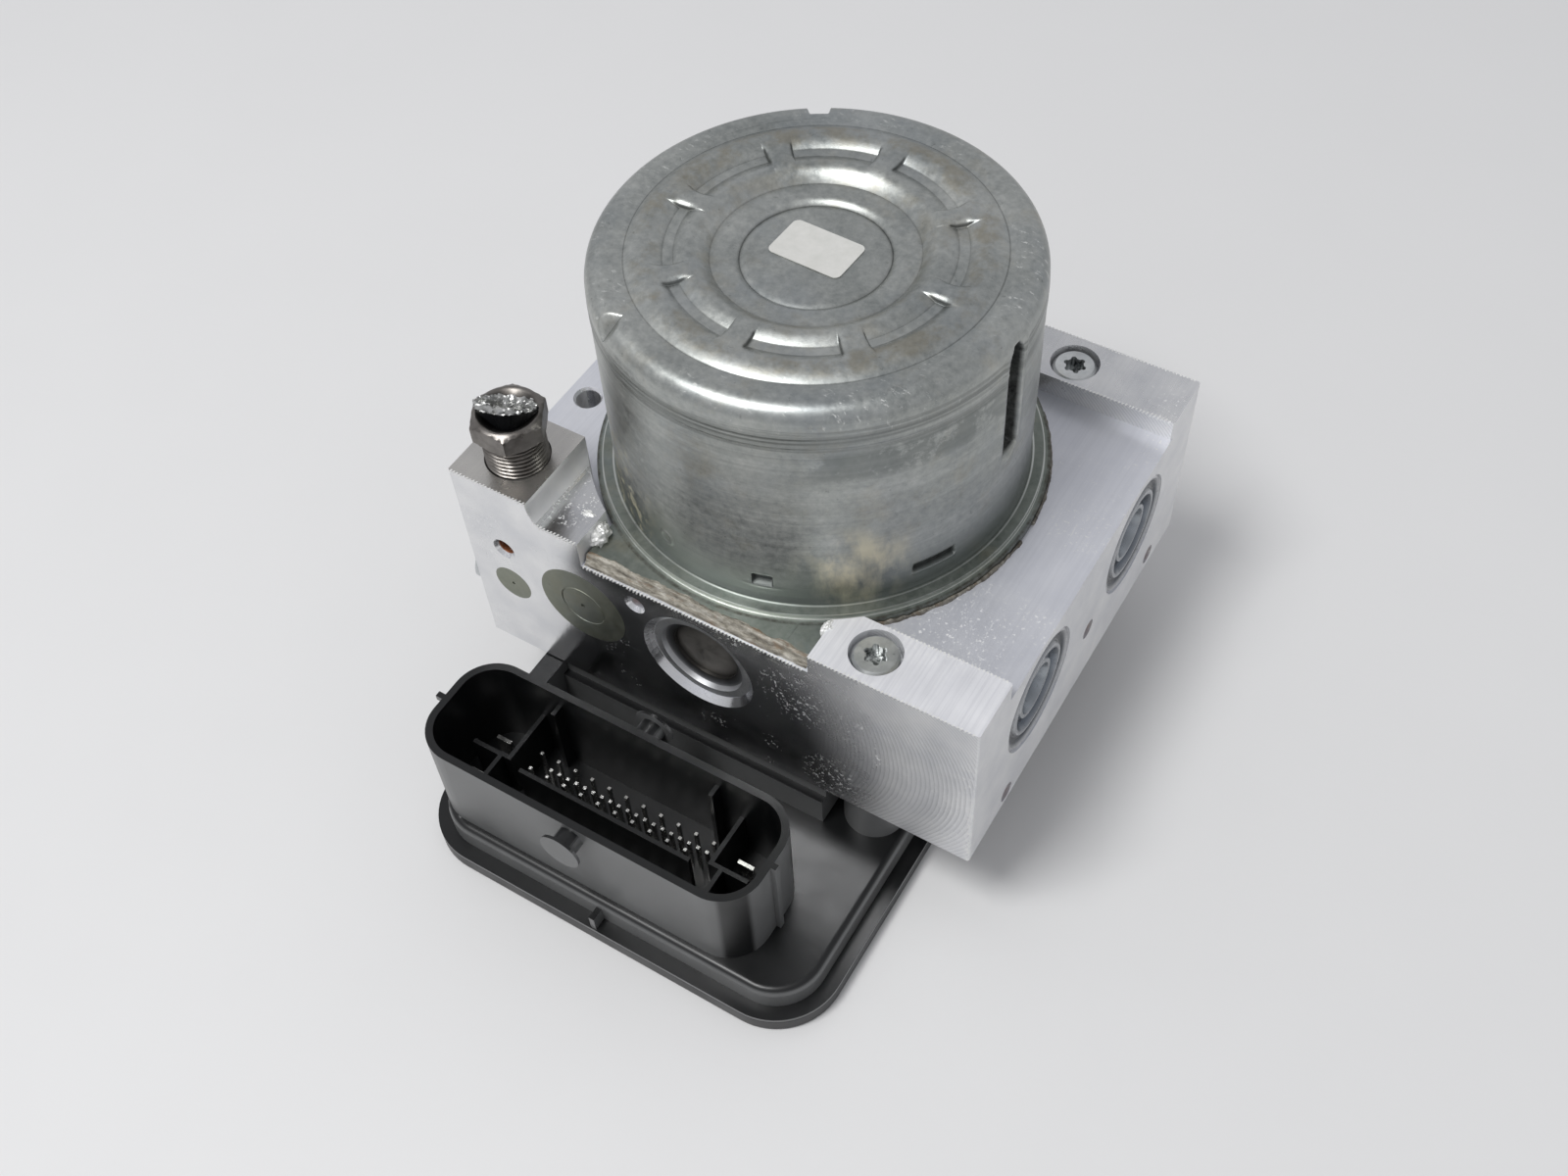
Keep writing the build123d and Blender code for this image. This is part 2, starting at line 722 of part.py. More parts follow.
# ================================================================ lower ball bearing
bearing_bottom = recess_floor - well_hub_depth + 2.0
bearing_mid = bearing_bottom + bearing_width / 2
ball_circle = (bearing_outer_radius + shaft_radius) / 2
inner_race_radius = ball_circle - bearing_ball_radius - running_gap + 0.5
outer_race_bore = ball_circle + bearing_ball_radius + running_gap - 0.5
with BuildPart() as bearing_outer_race:
    with BuildSketch(Plane.XY.offset(bearing_bottom)):
        ring(bearing_outer_radius, outer_race_bore)
    extrude(amount=bearing_width)
    with Locations((0, 0, bearing_mid)):
        Torus(ball_circle, bearing_ball_radius + running_gap, mode=Mode.SUBTRACT)
bearing_outer_race.part.label = "bearing_outer_race"
export_step(bearing_outer_race.part, "parts/bearing_outer_race.step")

with BuildPart() as bearing_inner_race:
    with BuildSketch(Plane.XY.offset(bearing_bottom)):
        ring(inner_race_radius, shaft_radius)
    extrude(amount=bearing_width)
    with Locations((0, 0, bearing_mid)):
        Torus(ball_circle, bearing_ball_radius + running_gap, mode=Mode.SUBTRACT)
bearing_inner_race.part.label = "bearing_inner_race"
export_step(bearing_inner_race.part, "parts/bearing_inner_race.step")

with BuildPart() as bearing_balls:
    with Locations((0, 0, bearing_mid)):
        with PolarLocations(ball_circle, bearing_ball_count):
            Sphere(bearing_ball_radius)
bearing_balls.part.label = "bearing_balls"
export_step(bearing_balls.part, "parts/bearing_balls.step")

# ================================================================ rotor
eccentric_bottom = pump_height - eccentric_half_height
eccentric_top = pump_height + eccentric_half_height
with BuildPart() as motor_shaft:
    with BuildSketch(Plane.XY.offset(eccentric_top)):
        Circle(shaft_radius)
    extrude(amount=ceiling - bush_height - 0.5 - eccentric_top)
    with BuildSketch(Plane.XY.offset(ceiling - bush_height - 0.5)):
        Circle(journal_radius)
    extrude(amount=bush_height)
    with BuildSketch(Plane.XY.offset(eccentric_bottom)):
        with Locations((eccentricity, 0)):
            Circle(eccentric_radius)
    extrude(amount=eccentric_top - eccentric_bottom)
    with BuildSketch(Plane.XY.offset(eccentric_bottom)):
        Circle(journal_radius)
    extrude(amount=-3.0)
motor_shaft.part.label = "motor_shaft"
export_step(motor_shaft.part, "parts/motor_shaft.step")

needle_circle = eccentric_radius + needle_radius + running_gap
with BuildPart() as eccentric_needles:
    with BuildSketch(Plane.XY.offset(eccentric_bottom + 0.5)):
        with Locations((eccentricity, 0)):
            with PolarLocations(needle_circle, needle_count):
                Circle(needle_radius)
    extrude(amount=eccentric_top - eccentric_bottom - 1.0)
eccentric_needles.part.label = "eccentric_needles"
export_step(eccentric_needles.part, "parts/eccentric_needles.step")

with BuildPart() as eccentric_race:
    with BuildSketch(Plane.XY.offset(eccentric_bottom)):
        with Locations((eccentricity, 0)):
            Circle(race_outer_radius)
            Circle(race_outer_radius - race_wall, mode=Mode.SUBTRACT)
    extrude(amount=eccentric_top - eccentric_bottom)
eccentric_race.part.label = "eccentric_race"
export_step(eccentric_race.part, "parts/eccentric_race.step")

slot_outer = armature_radius - 1.6
slot_inner = winding_inner_radius + 1.0
with BuildPart() as armature_core:
    with BuildSketch(Plane.XY.offset(armature_bottom)):
        ring(armature_radius, shaft_radius)
        with PolarLocations((slot_outer + slot_inner) / 2, armature_slots):
            Rectangle(slot_outer - slot_inner, 3.0, mode=Mode.SUBTRACT)
        with PolarLocations(armature_radius - 0.8, armature_slots):
            Rectangle(3.0, 1.8, mode=Mode.SUBTRACT)
    extrude(amount=armature_top - armature_bottom)
armature_core.part.label = "armature_core"
export_step(armature_core.part, "parts/armature_core.step")

with BuildPart() as armature_winding:
    with BuildSketch(Plane.XY.offset(armature_bottom - winding_overhang)):
        ring(winding_outer_radius, winding_inner_radius)
    extrude(amount=winding_overhang)
    with BuildSketch(Plane.XY.offset(armature_top)):
        ring(winding_outer_radius, winding_inner_radius)
    extrude(amount=winding_overhang)
    with BuildSketch(Plane.XY.offset(armature_bottom)):
        with PolarLocations((slot_outer + slot_inner) / 2, armature_slots):
            Rectangle(slot_outer - slot_inner - 2.4, 1.5)
    extrude(amount=armature_top - armature_bottom)
armature_winding.part.label = "armature_winding"
export_step(armature_winding.part, "parts/armature_winding.step")

commutator_bottom = plate_top + 1.2
commutator_top = armature_bottom - winding_overhang
with BuildPart() as commutator:
    with BuildSketch(Plane.XY.offset(commutator_bottom)):
        ring(commutator_radius, shaft_radius)
        with PolarLocations(commutator_radius, armature_slots):
            Rectangle(1.6, 0.5, mode=Mode.SUBTRACT)
    extrude(amount=commutator_top - commutator_bottom)
    with BuildSketch(Plane.XY.offset(commutator_top - 1.5)):
        ring(winding_inner_radius + 1.0, commutator_radius - 1.0)
    extrude(amount=1.5)
commutator.part.label = "commutator"
export_step(commutator.part, "parts/commutator.step")

# ================================================================ brush gear
holder_thickness = 2.0
brush_width = 6.0
brush_height = 4.0
brush_length = 11.0
brush_bottom = plate_top + holder_thickness + 0.4
brush_start = commutator_radius + moving_gap
brush_angles = (45, 135)
with BuildPart() as brush_holder:
    with BuildSketch(Plane.XY.offset(plate_top)):
        ring(can_inner - seat_gap, commutator_radius + 1.2)
        with Locations((contact_x, 0)):
            Circle(contact_radius, mode=Mode.SUBTRACT)
    extrude(amount=holder_thickness)
    for angle in brush_angles:
        guide_plane = Plane.XY.offset(plate_top + holder_thickness).rotated((0, 0, angle))
        with BuildSketch(guide_plane):
            with Locations((brush_start + 2.0 + brush_length / 2, 0)):
                Rectangle(brush_length, brush_width + 2.0)
        extrude(amount=brush_height + 1.4)
        with BuildSketch(guide_plane.offset(0.4)):
            with Locations((brush_start + brush_length / 2, 0)):
                Rectangle(2 * brush_length, brush_width)
        extrude(amount=brush_height, mode=Mode.SUBTRACT)
brush_holder.part.label = "brush_holder"
export_step(brush_holder.part, "parts/brush_holder.step")

with BuildPart() as carbon_brushes:
    for angle in brush_angles:
        with BuildSketch(Plane.XY.offset(brush_bottom).rotated((0, 0, angle))):
            with Locations((brush_start + brush_length / 2, 0)):
                Rectangle(brush_length, brush_width)
        extrude(amount=brush_height)
carbon_brushes.part.label = "carbon_brushes"
export_step(carbon_brushes.part, "parts/carbon_brushes.step")

with BuildPart() as motor_contact:
    with BuildSketch(Plane.XY.offset(board_bottom + board_thickness)):
        with Locations((contact_x, 0)):
            Circle(contact_pin_radius)
    extrude(amount=block_bottom - board_bottom - board_thickness)
    with BuildSketch(Plane.XY.offset(block_bottom)):
        with Locations((contact_x, 0)):
            Circle(contact_radius)
    extrude(amount=plate_top + holder_thickness - block_bottom)
motor_contact.part.label = "motor_contact"
export_step(motor_contact.part, "parts/motor_contact.step")

# ================================================================ valves
dome_end = block_bottom - dome_length
plunger_bottom = dome_end + dome_wall + plunger_stroke + 2 * running_gap
valve_places = [(x, y) for y in valve_rows for x in valve_columns]
with BuildPart() as valve_bodies:
    for x, y in valve_places:
        with BuildSketch(Plane.XY.offset(block_bottom)):
            with Locations((x, y)):
                Circle(valve_collar_radius)
        extrude(amount=valve_collar_height)
        with BuildSketch(Plane.XY.offset(block_bottom)):
            with Locations((x, y)):
                Circle(valve_bore_radius)
        extrude(amount=valve_depth - 1.0)
        with BuildSketch(Plane.XY.offset(dome_end)):
            with Locations((x, y)):
                Circle(dome_radius)
        extrude(amount=dome_length)
        with BuildSketch(Plane.XY.offset(dome_end + dome_wall)):
            with Locations((x, y)):
                Circle(dome_radius - dome_wall)
        extrude(amount=dome_length - dome_wall, mode=Mode.SUBTRACT)
valve_bodies.part.label = "valve_bodies"
export_step(valve_bodies.part, "parts/valve_bodies.step")

for number, (x, y) in enumerate(valve_places, start=1):
    with BuildPart() as valve_plunger:
        with BuildSketch(Plane.XY.offset(plunger_bottom)):
            with Locations((x, y)):
                Circle(dome_radius - dome_wall - slide_gap)
        extrude(amount=plunger_length)
    valve_plunger.part.label = f"valve_plunger_{number}"
    export_step(valve_plunger.part, f"parts/valve_plunger_{number}.step")

coil_bottom = block_bottom - 2.0 - coil_height
with BuildPart() as valve_coils:
    for x, y in valve_places:
        with BuildSketch(Plane.XY.offset(coil_bottom)):
            with Locations((x, y)):
                Circle(coil_radius)
                Circle(dome_radius + seat_gap, mode=Mode.SUBTRACT)
        extrude(amount=coil_height)
        with BuildSketch(Plane.XY.offset(board_bottom + board_thickness)):
            with Locations((x - coil_radius + 1.0, y), (x + coil_radius - 1.0, y)):
                Rectangle(0.8, 0.8)
        extrude(amount=coil_bottom - board_bottom - board_thickness)
valve_coils.part.label = "valve_coils"
export_step(valve_coils.part, "parts/valve_coils.step")

with BuildPart() as pressure_sensor:
    with BuildSketch(Plane.XY.offset(block_bottom)):
        Circle(sensor_radius)
    extrude(amount=sensor_depth - 0.5)
    with BuildSketch(Plane.XY.offset(board_bottom + board_thickness)):
        Circle(sensor_body_radius)
    extrude(amount=block_bottom - board_bottom - board_thickness)
pressure_sensor.part.label = "pressure_sensor"
export_step(pressure_sensor.part, "parts/pressure_sensor.step")

# ================================================================ control unit
body_sides = (unit_left + body_inset, unit_right - body_inset, unit_front + body_inset, unit_back - body_inset)
inner_sides = (
    body_sides[0] + body_wall,
    body_sides[1] - body_wall,
    body_sides[2] + body_wall,
    body_sides[3] - body_wall,
)
inner_corner = body_corner - body_wall
board_posts = [(x, y) for x in (inner_sides[0] + 6, inner_sides[1] - 14) for y in board_post_rows]

with BuildPart() as ecu_cover:
    with BuildSketch():
        rounded(unit_left, unit_right, unit_front, unit_back, unit_corner)
    extrude(amount=cover_height)
    chamfer(ecu_cover.edges().group_by(Axis.Z)[0], edge_break)
    with BuildSketch(Plane.XY.offset(cover_floor)):
        rounded(*inner_sides, inner_corner)
    extrude(amount=cover_height - cover_floor, mode=Mode.SUBTRACT)
    with BuildSketch(Plane.XY.offset(cover_floor)):
        with Locations(*board_posts):
            Circle(board_post_radius)
    extrude(amount=board_bottom - cover_floor)
ecu_cover.part.label = "ecu_cover"
export_step(ecu_cover.part, "parts/ecu_cover.step")

with BuildPart() as circuit_board:
    with BuildSketch(Plane.XY.offset(board_bottom)):
        rounded(
            inner_sides[0] + seat_gap,
            inner_sides[1] - seat_gap,
            inner_sides[2] + seat_gap,
            inner_sides[3] - seat_gap,
            inner_corner,
        )
        with Locations(*screw_places):
            Circle(screw_boss_radius + seat_gap, mode=Mode.SUBTRACT)
    extrude(amount=board_thickness)
circuit_board.part.label = "circuit_board"
export_step(circuit_board.part, "parts/circuit_board.step")

# pin rows from the shroud's left and front walls, each first pin, distance from the front, count and step
pin_rows = ((14.8, 6.9, 12, pin_pitch), (16.8, 12.8, 10, pin_pitch),
            (20.7, 14.4, 19, pin_pitch / 2), (16.8, 16.7, 11, pin_pitch))
pin_places = [
    (shroud_left + x + n * step, shroud_front + y) for x, y, count, step in pin_rows for n in range(count)
]
blade_spots = ((8.3, 15.6), (65.0, 15.8), (8.3, 7.0), (65.6, 7.0))
blade_places = [(shroud_left + x, shroud_front + y) for x, y in blade_spots]
blade_size = (3.4, 0.8)
board_top = board_bottom + board_thickness
tower_top = block_bottom - gasket_thickness
inner_back_wall = shroud_back - shroud_wall
inner_front_wall = shroud_front + shroud_wall

with BuildPart() as ecu_housing:
    with BuildSketch(Plane.XY.offset(cover_height)):
        rounded(unit_left, unit_right, unit_front, unit_back, unit_corner)
    extrude(amount=ledge_thickness)
    with BuildSketch(Plane.XY.offset(cover_height)):
        rounded(*body_sides, body_corner)
    extrude(amount=deck_height - cover_height)
    fillet(ecu_housing.edges().group_by(Axis.Z)[-1], body_edge)
    with BuildSketch(Plane.XY.offset(cover_height)):
        rounded(*inner_sides, inner_corner)
    extrude(amount=deck_height - roof_thickness - cover_height, mode=Mode.SUBTRACT)

    # tower that closes against the block, with a step along its front foot
    with BuildSketch(Plane.XY.offset(deck_height)):
        box_between(tower_left, tower_right, tower_front, tower_back)
    extrude(amount=tower_top - deck_height)
    with BuildSketch(Plane.XY.offset(deck_height)):
        box_between(tower_left, tower_right, tower_front - 1.6, tower_front)
    extrude(amount=tower_top - deck_height - 3.4)
    with BuildSketch(Plane.XY.offset(deck_height - roof_thickness)):
        box_between(tower_left + tower_wall, tower_right - tower_wall, tower_front + tower_wall,
                    tower_back - tower_wall)
    extrude(amount=block_standoff + roof_thickness, mode=Mode.SUBTRACT)

    # web between the shroud and the tower
    with BuildSketch(Plane.XY.offset(deck_height)):
        box_between(tower_left, tower_left + 4.4, shroud_back - shroud_wall / 2, tower_front)
    extrude(amount=tower_top - deck_height)

    # screw bosses, the near one with a gusset
    with BuildSketch(Plane.XY.offset(deck_height - roof_thickness)):
        with Locations(*screw_places):
            Circle(screw_boss_radius)
    extrude(amount=block_bottom - deck_height + roof_thickness)
    for side in (-1, 1):
        with BuildSketch(Plane.XY.offset(deck_height)):
            box_between(screw_x - screw_boss_radius - 4.0, screw_x - screw_boss_radius + 2.0,
                        side * screw_y - 0.6, side * screw_y + 0.6)
        extrude(amount=block_bottom - deck_height - 2.0)
        bore(facing(screw_x, side * screw_y, block_bottom, (0, 0, 1)), (2.5, block_bottom - 5.0))

    # connector shroud
    with BuildSketch(Plane.XY.offset(deck_height)):
        rounded(shroud_left, shroud_right, shroud_front, shroud_back, shroud_corner)
    extrude(amount=shroud_rim - deck_height)
    with BuildSketch(Plane.XY.offset(deck_height)):
        rounded(shroud_left + shroud_wall, shroud_right - shroud_wall, inner_front_wall, inner_back_wall,
                shroud_corner - shroud_wall)
    extrude(amount=shroud_rim - deck_height, mode=Mode.SUBTRACT)

    # walls that part the connector's chambers: a stepped wall at each end and a long one between
    half = divider_wall / 2
    left_inner, left_outer = shroud_left + 13.8, shroud_left + 11.9
    right_inner, right_outer = shroud_left + 60.4, shroud_left + 62.8
    left_step, right_step = shroud_front + 11.1, shroud_front + 11.3
    left_shelf, middle_wall = shroud_front + 10.9, shroud_front + 9.8
    with BuildSketch(Plane.XY.offset(deck_height)):
        box_between(left_inner - half, left_inner + half, left_step - half, inner_back_wall + half)
        box_between(left_outer - half, left_inner + half, left_step - half, left_step + half)
        box_between(left_outer - half, left_outer + half, inner_front_wall - half, left_step)
        box_between(shroud_left + 5.2, left_outer, left_shelf - half, left_shelf + half)
        box_between(right_inner - half, right_inner + half, right_step - half, inner_back_wall + half)
        box_between(right_inner - half, right_outer + half, right_step - half, right_step + half)
        box_between(right_outer - half, right_outer + half, inner_front_wall - half, right_step)
        box_between(right_outer, shroud_left + 68.5, right_step - half, right_step + half)
        box_between(shroud_left + 17.1, shroud_left + 56.6, middle_wall - half, middle_wall + half)
    extrude(amount=divider_top - deck_height)

    # guide ribs on the long inner wall
    with BuildSketch(Plane.XY.offset(deck_height)):
        for x in guide_ribs:
            box_between(x - half, x + half, inner_back_wall - guide_depth, inner_back_wall + half)
    extrude(amount=guide_top - deck_height)

    # rib that keys the plug, hook tab and the front rib of the deck
    with BuildSketch(Plane.XY.offset(deck_height)):
        box_between(shroud_right - half, shroud_right + 1.0, key_rib_y - 0.6, key_rib_y + 0.6)
    extrude(amount=shroud_rim - deck_height)
    with BuildSketch(Plane.XY.offset(shroud_rim - 2.2)):
        box_between(shroud_left - 2.0, shroud_left + half, hook_y - 0.6, hook_y + 0.6)
    extrude(amount=1.4)
    with BuildSketch(Plane.XY.offset(cover_height)):
        box_between(front_rib_x - 0.6, front_rib_x + 0.6, unit_front + 0.3, body_sides[2] + 0.5)
    extrude(amount=deck_height - body_edge - cover_height)

    # lever studs on both long walls of the shroud
    for start, out in ((shroud_front, -1), (shroud_back, 1)):
        stud_plane = Plane(origin=(stud_x, start, stud_z), z_dir=(0, out, 0))
        with Locations(stud_plane):
            Cylinder(stud_radius, stud_height, align=(Align.CENTER, Align.CENTER, Align.MIN))
        with Locations(stud_plane.offset(stud_height - stud_disc)):
            Cylinder(stud_disc_radius, stud_disc, align=(Align.CENTER, Align.CENTER, Align.MIN))

    # slots for the pins and blades through the roof
    with BuildSketch(Plane.XY.offset(deck_height - roof_thickness)):
        with Locations(*pin_places):
            Rectangle(pin_side, pin_side)
        with Locations(*blade_places):
            Rectangle(*blade_size)
    extrude(amount=roof_thickness, mode=Mode.SUBTRACT)
ecu_housing.part.label = "ecu_housing"
export_step(ecu_housing.part, "parts/ecu_housing.step")

with BuildPart() as ecu_gasket:
    with BuildSketch(Plane.XY.offset(tower_top)):
        box_between(tower_left, tower_right, tower_front, tower_back)
        with Locations(((tower_left + tower_right) / 2, (tower_front + tower_back) / 2)):
            Rectangle(tower_right - tower_left - 2 * tower_wall, tower_back - tower_front - 2 * tower_wall,
                      mode=Mode.SUBTRACT)
    extrude(amount=gasket_thickness)
ecu_gasket.part.label = "ecu_gasket"
export_step(ecu_gasket.part, "parts/ecu_gasket.step")

with BuildPart() as signal_pins:
    with BuildSketch(Plane.XY.offset(board_top)):
        with Locations(*pin_places):
            Rectangle(pin_side, pin_side)
    extrude(amount=pin_top - board_top)
signal_pins.part.label = "signal_pins"
export_step(signal_pins.part, "parts/signal_pins.step")

with BuildPart() as power_blades:
    with BuildSketch(Plane.XY.offset(board_top)):
        with Locations(*blade_places):
            Rectangle(*blade_size)
    extrude(amount=pin_top - board_top)
power_blades.part.label = "power_blades"
export_step(power_blades.part, "parts/power_blades.step")

# ================================================================ control unit screws
with BuildPart() as ecu_screws:
    for x, y in screw_places:
        head_seat = rail_top - screw_sink_depth
        with BuildSketch(Plane.XY.offset(head_seat)):
            with Locations((x, y)):
                Circle(screw_head_radius)
        extrude(amount=screw_head_height)
        with BuildSketch(Plane.XY.offset(head_seat)):
            with Locations((x, y)):
                Circle(screw_shank_radius)
        extrude(amount=-(head_seat - block_bottom) - 12.0)
        with BuildSketch(Plane.XY.offset(head_seat + screw_head_height)):
            with Locations((x, y)):
                with PolarLocations(socket_radius, 6):
                    Circle(socket_lobe_radius)
                Circle(socket_radius)
        extrude(amount=-socket_depth, mode=Mode.SUBTRACT)
    chamfer(ecu_screws.edges().filter_by(GeomType.CIRCLE).group_by(Axis.Z)[-1]
            .filter_by(lambda e: abs(e.radius - screw_head_radius) < 0.01), 0.5)
ecu_screws.part.label = "ecu_screws"
export_step(ecu_screws.part, "parts/ecu_screws.step")

# ================================================================ brake pipe nuts
hex_radius = hex_across_flats / 2 / cos(radians(30))
hex_bottom = pad_top + nut_gap_under_hex
hex_top = hex_bottom + hex_height
nut_mouth = hex_top - nut_mouth_depth
nut_tip = pad_top - inlet_depth + 1.0
thread_root = nut_thread_radius - 0.55
thread_turns = int((nut_gap_under_hex - 0.7) / nut_thread_pitch)
thread_end = pad_top + thread_turns * nut_thread_pitch
inlet_axis = Axis((inlet_x, -inlet_y, 0), (0, 0, 1))
inlet_side = Plane.XZ.offset(inlet_y)

with BuildPart() as brake_nut:
    with BuildSketch(Plane(origin=(inlet_x, -inlet_y, hex_bottom))):
        RegularPolygon(hex_radius, 6, rotation=nut_turn)
    extrude(amount=hex_height)
    with BuildSketch(inlet_side) as outline:
        with BuildLine():
            Polyline((inlet_x, hex_bottom), (inlet_x + nut_rim_radius, hex_bottom),
                     (inlet_x + hex_radius, hex_bottom + hex_chamfer),
                     (inlet_x + hex_radius, hex_top - hex_chamfer),
                     (inlet_x + nut_rim_radius, hex_top),
                     (inlet_x + pipe_radius + 0.1, nut_mouth),
                     (inlet_x, nut_mouth), close=True)
        make_face()
    revolve(outline.sketch, axis=inlet_axis, mode=Mode.INTERSECT)
    with BuildSketch(Plane(origin=(inlet_x, -inlet_y, thread_end))):
        Circle(thread_root)
    extrude(amount=hex_bottom - thread_end)
    with BuildSketch(Plane(origin=(inlet_x, -inlet_y, nut_tip))):
        Circle(inlet_tap_radius - seat_gap / 2)
    extrude(amount=pad_top - nut_tip)
    for turn in range(thread_turns):
        foot = pad_top + turn * nut_thread_pitch
        with BuildSketch(inlet_side) as thread:
            with BuildLine():
                Polyline((inlet_x, foot), (inlet_x + thread_root, foot),
                         (inlet_x + nut_thread_radius, foot + 0.4 * nut_thread_pitch),
                         (inlet_x + nut_thread_radius, foot + 0.6 * nut_thread_pitch),
                         (inlet_x + thread_root, foot + nut_thread_pitch),
                         (inlet_x, foot + nut_thread_pitch), close=True)
            make_face()
        revolve(thread.sketch, axis=inlet_axis)
    with Locations((inlet_x, -inlet_y, hex_top)):
        Cylinder(pipe_radius + 0.05, hex_top - nut_tip, mode=Mode.SUBTRACT,
                 align=(Align.CENTER, Align.CENTER, Align.MAX))
brake_nut.part.label = "brake_nut"
export_step(brake_nut.part, "parts/brake_nut.step")

# sheared pipe, squeezed flat above the nut with a slit left open between its walls
stub_top = hex_top + stub_rise
with BuildPart() as pipe_stub:
    with BuildSketch(Plane(origin=(inlet_x, -inlet_y, nut_tip))):
        Circle(pipe_radius)
    extrude(amount=nut_mouth - nut_tip)
    with BuildSketch(Plane(origin=(inlet_x, -inlet_y, nut_mouth))):
        Circle(pipe_radius)
    with BuildSketch(Plane(origin=(inlet_x, -inlet_y, stub_top))):
        SlotOverall(stub_width, stub_thickness, rotation=stub_turn)
    loft()
    bore(facing(inlet_x, -inlet_y, nut_mouth - 0.5, (0, 0, 1)), (pipe_radius - 1.0, nut_mouth - 0.5 - nut_tip))
    with BuildSketch(Plane(origin=(inlet_x, -inlet_y, stub_top))):
        SlotOverall(stub_width - 2.4, 0.6, rotation=stub_turn)
    extrude(amount=-1.0, mode=Mode.SUBTRACT)
pipe_stub.part.label = "pipe_stub"
export_step(pipe_stub.part, "parts/pipe_stub.step")

# the nut of the first outlet is screwed home, with its pipe cut off at the crown
outlet_hex_radius = outlet_across_flats / 2 / cos(radians(30))
outlet_place = outlet_planes[0]
with BuildPart() as outlet_nut:
    with BuildSketch(outlet_place):
        RegularPolygon(outlet_hex_radius, 6, rotation=outlet_turn)
    extrude(amount=outlet_hex_height)
    with Locations(outlet_place):
        Cylinder(outlet_tap_radius - seat_gap / 2, outlet_depth - 1.0,
                 align=(Align.CENTER, Align.CENTER, Align.MAX))
    with Locations(outlet_place.offset(outlet_hex_height)):
        Cylinder(outlet_pipe_radius + 0.05, outlet_hex_height + outlet_depth, mode=Mode.SUBTRACT,
                 align=(Align.CENTER, Align.CENTER, Align.MAX))
outlet_nut.part.label = "outlet_nut"
export_step(outlet_nut.part, "parts/outlet_nut.step")

with BuildPart() as outlet_stub:
    with BuildSketch(outlet_place.offset(outlet_hex_height + 0.6)):
        Circle(outlet_pipe_radius)
        Circle(outlet_pipe_radius - 1.0, mode=Mode.SUBTRACT)
    extrude(amount=-outlet_hex_height - outlet_depth + 0.6)
outlet_stub.part.label = "outlet_stub"
export_step(outlet_stub.part, "parts/outlet_stub.step")

# ================================================================ label and sealant
with BuildPart() as can_label:
    with BuildSketch(Plane(origin=(0, 0, boss_floor)).rotated((0, 0, 0))):
        with Locations(Location((label_x, label_y), label_turn)):
            RectangleRounded(label_length, label_width, 1.2)
    extrude(amount=label_thickness)
can_label.part.label = "can_label"
export_step(can_label.part, "parts/can_label.step")

with BuildPart() as sealant_bead:
    for side in (-1, 1):
        with BuildSketch(Plane.XY.offset(recess_floor)):
            with Locations(((flange_left + flange_right) / 2, side * (flange_front + bead_width / 2))):
                Rectangle(flange_right - flange_left, bead_width)
        extrude(amount=flange_plate_thickness - 0.5)
sealant_bead.part.label = "sealant_bead"
export_step(sealant_bead.part, "parts/sealant_bead.step")
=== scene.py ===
"""Dresses the anti-lock brake module: surfaces, finishes, light and camera around its fixed solids."""

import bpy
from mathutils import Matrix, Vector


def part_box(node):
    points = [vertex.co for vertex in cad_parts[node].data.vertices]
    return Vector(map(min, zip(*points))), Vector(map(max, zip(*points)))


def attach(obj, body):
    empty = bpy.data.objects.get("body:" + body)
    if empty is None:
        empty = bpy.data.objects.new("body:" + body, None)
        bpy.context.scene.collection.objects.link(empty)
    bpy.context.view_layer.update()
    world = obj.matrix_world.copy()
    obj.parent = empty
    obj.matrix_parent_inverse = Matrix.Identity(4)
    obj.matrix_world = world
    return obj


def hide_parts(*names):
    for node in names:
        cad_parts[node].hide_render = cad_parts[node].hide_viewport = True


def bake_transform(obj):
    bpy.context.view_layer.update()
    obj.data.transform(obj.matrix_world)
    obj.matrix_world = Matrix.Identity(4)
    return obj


bl_info = {
    "name": "Anti-lock brake module",
    "version": (1, 0, 0),
    "blender": (4, 5, 0),
    "location": "View3D > Sidebar > Brake module",
    "description": "Builds the can, milled edges, pipe nuts, sealant and finishes of a brake module",
    "category": "Add Mesh",
}

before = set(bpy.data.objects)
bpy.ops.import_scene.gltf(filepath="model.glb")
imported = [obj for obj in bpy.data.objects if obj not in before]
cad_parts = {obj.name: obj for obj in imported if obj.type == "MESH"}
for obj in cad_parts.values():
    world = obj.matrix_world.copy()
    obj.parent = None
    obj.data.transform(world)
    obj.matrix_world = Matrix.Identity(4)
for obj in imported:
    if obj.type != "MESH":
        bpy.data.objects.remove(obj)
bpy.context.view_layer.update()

from math import cos, pi, radians, sin

import bmesh
import bpy
import numpy as np
from bpy.props import FloatProperty, FloatVectorProperty, IntProperty, PointerProperty
from mathutils import Quaternion, Vector

MM = 0.001


# ------------------------------------------------------------------ places read from the solids, in mm
def low_high(node):
    """Returns a solid's lowest and highest corner in millimetres."""
    low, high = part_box(node)
    return np.array(low) / MM, np.array(high) / MM


block_low, block_high = low_high("hydraulic_block")
can_low, can_high = low_high("motor_can")
nut_low, nut_high = low_high("brake_nut")
pad_top = block_high[2]
flange_top = can_low[2]
flange_reach = 43.4
flange_bottom = 58.4
recess_floor = flange_top - 1.7
rail_top = pad_top - 6.6
screw_x, screw_y = 34.05, 39.9


